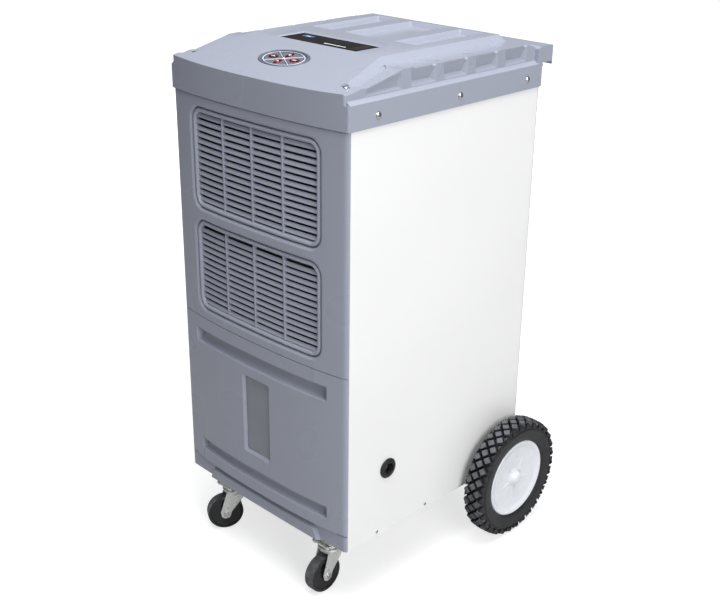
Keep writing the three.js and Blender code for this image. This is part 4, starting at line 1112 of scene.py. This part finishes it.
def cotter():
    """Bent split pin beside the cap of the hub, outer side up."""
    arc = [(3.4 * math.cos(a), 3.4 * math.sin(a) + 13.0, 17.4) for a in linspace(-1.2, 4.3, 14)]
    wire = tube([(1.2, 9.5, 17.0), (1.6, 10.1, 17.2)] + arc[:-1], 0.85, 8, 60)
    return spin(wire, -38, "Z")


WX, WY, WZ = 266.0, 191.0, 127.0
for side, word in ((1, "right"), (-1, "left")):
    t = tyre()
    h = hub()
    # outer side faces away from the cabinet; the disc's angles are those seen from outside
    c = cotter()
    for bm in (t, h, c):
        spin(bm, 90, "Z")
        spin(bm, 90, "Y")
        if side < 0:
            mirror_x(bm)
        move(bm, WX * side, WY, WZ)
    # tops of the blocks carry a greyer rubber: partly wear, partly a painted highlight standing in for the light on the
    # tread
    for f in t.faces:
        m = f.calc_center_median()
        dy, dz = m.y - WY, m.z - WZ
        r = math.hypot(dy, dz)
        if r > 124.6 and abs(f.normal.y * dy + f.normal.z * dz) / r > 0.9:
            f.material_index = 1
    piece(t, f"tyre_tread_{word}", f"wheel_{word}", "tyre", f"tyre_{word}", smooth=30, mats=["tread_wear_and_highlight"])
    piece(c, f"split_pin_{word}", f"wheel_{word}", "zinc", (), smooth=50)
    piece(h, f"wheel_disc_{word}", f"wheel_{word}", "hubwhite", f"hub_{word}", smooth=30)


# ------------------------------------------------------------------ casters
def caster(side, turn, word):
    px, py = 145.0 * side, -214.0
    # hat-shaped bracket under the tray
    def ring(h, z, r=5):
        return [(x, y, z) for x, y in rounded_rect(-h, h, -h, h, r, 4)]
    outer = hull(ring(22, 107.4, 5) + ring(24, 118, 6) + ring(30, 130.6, 7))
    flange = prism(rounded_rect(-34, 34, -32, 32, 6, 5), 128.4, 130.6)
    b = boolean(outer, flange, op="UNION")
    inner = hull(ring(20, 109.4, 4) + ring(22, 118, 5) + ring(28, 131.5, 6))
    b = boolean(b, inner)
    b = boolean(b, *[move(turned([(0, 126), (3, 126), (3, 134), (0, 134)], 16), x, y, 0) for x, y in ((-31, 0), (31, 0))])
    move(b, px, py, 0)
    o = piece(b, f"hat_bracket_{word}", "root", "zinc", f"caster_bracket_{word}", smooth=40)
    soft(o, 0.7, 2, 30)
    plate = prism(rounded_rect(-22, 22, -28, 28, 4, 5), 104.0, 107.0)
    plate = boolean(plate, *[move(turned([(0, 100), (3.4, 100), (3.4, 110), (0, 110)], 16), x, y, 0) for x in (-17, 17) for y in (-22.5, 22.5)])
    race = turned([(0, 100.2), (20.6, 100.2), (21.6, 101.0), (21.6, 102.8), (20.4, 104.0), (0, 104.0)], 48)
    bolts = [move(turned([(0, 100.4), (4.3, 100.4), (4.6, 101), (4.6, 104.2), (0, 104.2)], 6), x, y, 0) for x in (-17, 17) for y in (-22.5, 22.5)]
    p = join(plate, *bolts)
    move(p, px, py, 0)
    o = piece(p, f"top_plate_{word}", "root", "zinc", f"caster_plate_{word}", smooth=40)
    soft(o, 0.5, 2, 30)
    # fork: crown with the lower race, kingpin, and two pressed legs reaching back to the axle
    crown = turned([(0, 81.0), (17, 81.0), (19.4, 82.4), (20.6, 85), (20.6, 88.4), (23.4, 90.0), (23.4, 92.2), (22.2, 93.4), (18, 94.0), (17, 98.8), (8, 100.0), (0, 100.0)], 48)
    parts = [crown]
    ay, az_ = -20.0, 37.5
    for s in (1, -1):
        # outline of a leg in (y, z): straight front, slanted rear, round foot
        outline = rounded_profile([(-17, 89, 5), (-31.5, 42, 9), (-29, 26.5, 10), (-12.5, 26.0, 10), (-8.0, 42, 9), (17.5, 74, 9), (17.5, 89, 5)], 5, 6)
        leg = prism(outline, 14.0 * s, 16.2 * s, "x")
        rib = prism(rounded_profile([(-14.5, 84, 3), (-27.5, 44, 5), (-21.0, 40, 3), (9, 76, 4), (10, 84, 3)], 3, 5), 15.9 * s, 17.1 * s, "x")
        boss = spin(turned([(0, 0), (8.2, 0), (8.2, 1.6), (7.2, 2.2), (0, 2.2)], 32), 90 * s, "Y")
        move(boss, 16.0 * s, ay, az_)
        parts += [leg, rib, boss]
    top = prism(rounded_profile([(-19, -17), (19, -17), (19, 17), (-19, 17)], 7, 5), 85.5, 89.5)
    parts.append(top)
    f = join(*parts)
    spin(f, turn, "Z")
    move(f, px, py, 0)
    o = piece(f, f"fork_{word}_pressed", f"swivel_{word}", "zinc", f"fork_{word}", smooth=40)
    soft(o, 0.45, 2, 35)
    b = spin(turned([(0, -20), (5.6, -20), (5.6, -17.2), (4.0, -17), (4.0, 17), (5.6, 17.2), (6.0, 18), (6.0, 19.6), (5.4, 20.4), (0, 20.5)], 6 * 5), 90, "Y")
    move(b, 0, ay, az_)
    spin(b, turn, "Z")
    move(b, px, py, 0)
    o = piece(b, f"axle_bolt_{word}", f"swivel_{word}", "steel", f"caster_bolt_{word}", smooth=35)
    # wheel: tread band with rounded shoulders, recessed side discs
    w = turned([(4.6, -12.6), (9.0, -12.6), (9.4, -12.2), (9.4, -10.6), (27.6, -9.4), (30.2, -10.6), (31.0, -12.0), (34.6, -12.0), (36.6, -10.8), (37.4, -8.4), (37.5, 0),
                (37.4, 8.4), (36.6, 10.8), (34.6, 12.0), (31.0, 12.0), (30.2, 10.6), (27.6, 9.4), (9.4, 10.6), (9.4, 12.2), (9.0, 12.6), (4.6, 12.6)], 96)
    w.normal_update()
    for f in w.faces:
        m = f.calc_center_median()
        if math.hypot(m.x, m.y) > 36.4:
            f.material_index = 1
    spin(w, 90, "Y")
    move(w, 0, ay, az_)
    spin(w, turn, "Z")
    move(w, px, py, 0)
    piece(w, f"roller_{word}_tyre", f"roller_{word}", "roller", f"caster_wheel_{word}", smooth=35, mats=["scuffed"])


caster(1, 0, "right")
caster(-1, -30, "left")


# ------------------------------------------------------------------ sheet metal and fittings
def side_panel(side):
    # sheet with rounded folds along its front and rear edges
    f, t, o_, i_ = 12.0, 1.5, 227.5, 226.0
    y0, y1 = -247.0, 248.0
    r = 2.6
    def arc(cx, cy, rad, a0, a1, n=5):
        return [(cx + rad * math.cos(math.radians(a0 + (a1 - a0) * k / n)), cy + rad * math.sin(math.radians(a0 + (a1 - a0) * k / n))) for k in range(n + 1)]
    plan = [(o_ - f, y0)] + arc(o_ - r, y0 + r, r, -90, 0) + arc(o_ - r, y1 - r, r, 0, 90) + [(o_ - f, y1), (o_ - f, y1 - t)]
    plan += arc(o_ - r, y1 - r, r - t, 90, 0) + arc(o_ - r, y0 + r, r - t, 0, -90) + [(o_ - f, y0 + t)]
    p = prism(plan, 131.0, 962.0)
    cuts = [box(200, 225.95, -250, 251, 130, 158), box(223, 231, 181, 201, 130, 137.5)]
    if side > 0:
        cuts.append(move(to_x(turned([(0, 0), (16.4, 0), (16.4, 10), (0, 10)], 48)), 220, -144.5, 270))
    p = boolean(p, *cuts)
    if side < 0:
        mirror_x(p)
    o = piece(p, "side_sheet_right" if side > 0 else "side_sheet_left", "root", "white", "right_side_panel" if side > 0 else "left_side_panel", smooth=40)
    soft(o, 0.35, 2, 40)
    # screws along the foot of the sheet
    heads = []
    for y in (-170, -33, 104):
        s = spin(pan_screw(3.4, 1.3), 20 + y, "Z")
        spin(s, 90 * side, "Y")
        heads.append(move(s, 227.5 * side, y, 140))
    piece(join(*heads), "foot_screws_right" if side > 0 else "foot_screws_left", "root", "steel", (), smooth=40)


side_panel(1)
side_panel(-1)


def rear_panel():
    p = prism(rounded_rect(-227, 227, 131, 962, 1.5, 3), 248.3, 249.8, "y")
    cuts = []
    for k in range(13):
        z = 640 + k * 16
        h = min(120, math.sqrt(max(0, 122 ** 2 - (z + 3.5 - 735.0) ** 2)))
        cuts.append(prism(rounded_rect(-h, h, z, z + 7, 3.4, 5), 240, 255, "y"))
    cuts.append(move(to_y(turned([(0, 0), (11.4, 0), (11.4, 10), (0, 10)], 40)), 150, 243, 215))
    p = boolean(p, *cuts)
    o = piece(p, "rear_sheet", "root", "white", "rear_panel", smooth=40)
    soft(o, 0.3, 2, 40)
    # downward hoods over the slots
    hoods = []
    for k in range(13):
        z = 640 + k * 16
        h = min(120, math.sqrt(max(0, 122 ** 2 - (z + 3.5 - 735.0) ** 2)))
        hoods.append(hull([(x * (h - 2), y, zz) for x in (-1, 1) for y, zz in ((249.6, z + 8.6), (249.6, z + 6.6), (252.6, z + 4.0), (253.2, z + 4.6))]))
    o = piece(join(*hoods), "rear_hoods", "root", "white", (), smooth=40)
    heads = []
    for x in (-214, 214):
        for z in (180, 420, 660, 900):
            s = spin(pan_screw(3.4, 1.3), 30 + z, "Z")
            heads.append(move(to_y(s), x, 249.8, z))
    piece(join(*heads), "rear_screws", "root", "steel", (), smooth=40)


rear_panel()

# drain outlet grommet
prof = [(10.5, -4.6), (16.0, -4.6), (16.0, 0.25), (18.6, 0.25), (19.8, 0.9), (20.0, 2.2), (19.2, 3.4), (16.6, 4.4), (14.4, 5.6), (12.8, 6.0), (11.2, 5.6), (10.5, 4.2)]
g = turned(prof, 72)
g = move(to_x(g), 227.5, -144.5, 270)
piece(g, "drain_grommet", "root", "black", "drain_outlet", smooth=32)


# rear cord gland with its nut and dome, cord left out
g = turned([(5, -8), (13.6, -8), (14, -7.4), (14, -0.3), (11, -0.3), (11, 1.9), (14.0, 1.9)] + [(14.0, 7.4), (13.2, 8.2), (10.8, 9.4), (9.6, 13), (8.6, 15.6), (7.4, 16), (6.2, 15.8), (5.2, 15)], 48)
ribs = [spin(box(12.6, 13.95, -0.8, 0.8, 2.2, 7.8), a, "Z") for a in range(0, 360, 20)]
g = move(to_y(join(g, *ribs)), 150, 248, 215)
piece(g, "gland_body", "root", "black", "cord_gland", smooth=35)

# ------------------------------------------------------------------ refrigeration and air path
o = piece(tube([(196, -130, 512), (196, -130, 480), (199, -132, 420), (200, -138, 340), (200, -144, 292), (203, -144.5, 276), (212, -144.5, 270), (221, -144.5, 270)], 6.9), "drain_tube", "root", "hose", "drain_hose", smooth=50)
o = piece(tube([(-70, 95, 412.6), (-70, 95, 450), (-110, 60, 480), (-168, 20, 500), (-196, -40, 520), (-196, -110, 530), (-190, -136, 545), (-177, -136, 546)], 4.9, 14, 80), "discharge_tube", "root", "copper", "discharge_pipe", smooth=50)
o = piece(tube([(-184, -201, 560), (-200, -196, 560), (-209, -140, 556), (-209, -40, 545), (-200, 30, 520), (-176, 70, 470), (-160, 95, 420), (-154, 95, 330), (-152, 95, 262), (-143.6, 95, 240)], 5.9, 14, 90), "suction_tube", "root", "copper", "suction_pipe", smooth=50)


def compressor():
    c = turned([(0, 158), (40, 158), (54, 163), (62, 172), (66, 190), (66, 268), (67.6, 270), (67.6, 276), (66, 278), (66, 352), (64.5, 368), (60, 382), (50, 391), (36, 396), (0, 398)], 72)
    move(c, -70, 95, 0)
    feet = prism(rounded_profile([(-150, 45, 8), (-125, 20, 8), (-15, 20, 8), (10, 45, 8), (-45, 168, 8), (-95, 168, 8)], 8, 5), 155, 159)
    neck = move(turned([(0, 392), (8, 392), (8, 411), (7, 412), (0, 412)], 32), -70, 95, 0)
    lid_ = move(turned([(0, -1), (20, -1), (20, 16), (18, 18), (0, 18)], 4), 0, 0, 0)
    spin(lid_, 45, "Z")
    spin(lid_, -90, "X")
    spin(lid_, 180, "Z")
    move(lid_, -70, 33, 300)
    return join(c, feet, neck, lid_)


o = piece(compressor(), "compressor_shell", "root", "black_paint", "compressor", smooth=35)
soft(o, 0.6, 2, 35)
for k, (x, y) in enumerate(((-128, 38), (-12, 38), (-70, 158))):
    m = turned([(0, 133.4), (12, 133.4), (12, 139), (9.5, 142), (9.5, 146), (12, 149), (12, 153.6), (11, 154.6), (0, 154.6)], 32)
    piece(move(m, x, y, 0), f"rubber_foot_{k + 1}", "root", "rubber", f"compressor_mount_{k + 1}", smooth=35)


def coil(y0, y1, word):
    block = box(-172, 172, y0, y1, 512, 905)
    o_ = piece(block, f"{word}_fin_block", "root", "fins", word, smooth=30)
    soft(o_, 0.4, 2)
    plates = []
    for s in (1, -1):
        x = 175 * s
        pl = box(x - 1, x + 1, y0 - 3, y1 + 3, 508, 908)
        lips = [box(min(x - s, x - 4 * s), max(x - s, x - 4 * s), y, y + 1, 508, 908) for y in (y0 - 3, y1 + 2)]
        plates += [pl] + lips
    o_ = piece(join(*plates), f"{word}_end_plates", "root", "galv", (), smooth=30)
    soft(o_, 0.3, 2)
    bends = []
    ym = (y0 + y1) / 2
    for k in range(6):
        z = 548 + k * 60
        arc = [(175, ym, z), (181, ym, z), (187, ym, z + 6), (190 - 4, ym, z + 13), (187, ym, z + 20), (181, ym, z + 26), (175, ym, z + 26)]
        bends.append(tube(arc, 3.9, 10, 24))
    piece(join(*bends), f"{word}_return_bends", "root", "copper", (), smooth=50)


coil(-222, -180, "evaporator")
coil(-160, -112, "condenser")


def fan():
    hub_ = to_y(turned([(5.4, 0), (26, 0), (29.4, 2), (30, 6), (30, 20), (5.4, 20)], 48))
    move(hub_, 0, 197, 735)
    blades = []
    for k in range(5):
        bm = bmesh.new()
        rows = []
        for i in range(9):
            r = 27 + i * (122 - 27) / 8
            f = i / 8
            chord = 44 + 26 * math.sin(f * 2.4)
            pitch = math.radians(38 - 20 * f)
            row = []
            for j in range(7):
                u = (j / 6 - 0.5)
                camber = 5.5 * (0.25 - u * u) * (1 + f)
                x = u * chord * math.cos(pitch) + 8 * f * f
                y = -u * chord * math.sin(pitch) - camber
                row.append((x, y, r))
            rows.append(row)
        top = [[bm.verts.new((x, y + 1.1, math.sqrt(max(0, r * r - x * x)) if r > 40 else r)) for x, y, r in row] for row in rows]
        bot = [[bm.verts.new((x, y - 1.1, math.sqrt(max(0, r * r - x * x)) if r > 40 else r)) for x, y, r in row] for row in rows]
        for i in range(8):
            for j in range(6):
                bm.faces.new((top[i][j], top[i][j + 1], top[i + 1][j + 1], top[i + 1][j]))
                bm.faces.new((bot[i][j], bot[i + 1][j], bot[i + 1][j + 1], bot[i][j + 1]))
        for i in range(8):
            bm.faces.new((top[i][0], top[i + 1][0], bot[i + 1][0], bot[i][0]))
            bm.faces.new((top[i][6], bot[i][6], bot[i + 1][6], top[i + 1][6]))
        for j in range(6):
            bm.faces.new((top[0][j], bot[0][j], bot[0][j + 1], top[0][j + 1]))
            bm.faces.new((top[8][j], top[8][j + 1], bot[8][j + 1], bot[8][j]))
        bmesh.ops.recalc_face_normals(bm, faces=bm.faces[:])
        spin(bm, k * 72, "Y")
        move(bm, 0, 207, 735)
        blades.append(bm)
    return join(hub_, *blades)


o = piece(fan(), "fan_rotor", "fan", "black", "fan_blades", smooth=35)


def fan_shroud():
    s = prism(rounded_rect(-200, 200, 560, 925, 6, 4), 226, 228, "y")
    s = boolean(s, move(to_y(turned([(0, 0), (136, 0), (136, 10), (0, 10)], 72)), 0, 222, 735))
    ring = to_y(turned([(132, -38), (135, -38), (135.4, -6), (138.5, -1), (143, 2), (137, 2), (133.4, -3), (132, -8)], 96))
    move(ring, 0, 226, 735)
    # wire guard carried by three spokes
    parts = [s, ring]
    for a in (90, 210, 330):
        b = box(40, 140, 228, 230.8, -5, 5)
        spin(b, -a, "Y")
        parts.append(move(b, 0, 0, 735))
    parts.append(move(to_y(turned([(38, 0), (44, 0), (44, 2.8), (38, 2.8)], 48)), 0, 228, 735))
    for r in (62, 82, 102, 122):
        pts = []
        w = turned([(r - 1.2, 0.6), (r, -0.6), (r + 1.2, 0.6), (r, 1.8)], 72)
        parts.append(move(to_y(w), 0, 229.2, 735))
    return join(*parts)


o = piece(fan_shroud(), "fan_cowl", "root", "galv", "fan_shroud", smooth=35)
m = to_y(turned([(0, 0), (5, 0), (5, 26), (28, 27), (33, 29.5), (36, 34), (36, 46), (34.5, 48), (0, 48)], 56))
piece(move(m, 0, 194, 735), "motor_can", "root", "black_paint", "fan_motor", smooth=35)

# ------------------------------------------------------------------ carried-over pieces
dress("base_tray", "galv", 0.5)
dress("partition_deck", "galv", 0.5)
dress("control_board", "board", 0.2)


def air_filter():
    f = prism(rounded_rect(-171, 171, 506, 904, 5, 4), -240, -236, "y")
    cuts = [prism(rounded_rect(x, x + 79.5, z0, z1, 3, 3), -245, -230, "y") for z0, z1 in ((512, 702), (708, 898)) for x in (-165, -81.5, 2, 85.5)]
    f = boolean(f, *cuts)
    return f


o = piece(air_filter(), "filter_frame", "root", "black", "air_filter", smooth=35)
soft(o, 0.4, 2, 35)
sheet = box(-169, 169, -238.6, -237.8, 508, 902)
o = piece(sheet, "filter_fabric", "root", "filter", (), smooth=35)
dress("water_tank", "tank", 1.0, 3)
dress("tank_float", "foam", 0.8, 3)
dress("drip_tray", "hose", 0.5)
dress("axle_rod", "zinc", 0.5, smooth=45)
for word in ("right", "left"):
    dress(f"axle_bracket_{word}", "zinc", 0.5)

# ------------------------------------------------------------------ finish
bpy.context.view_layer.update()
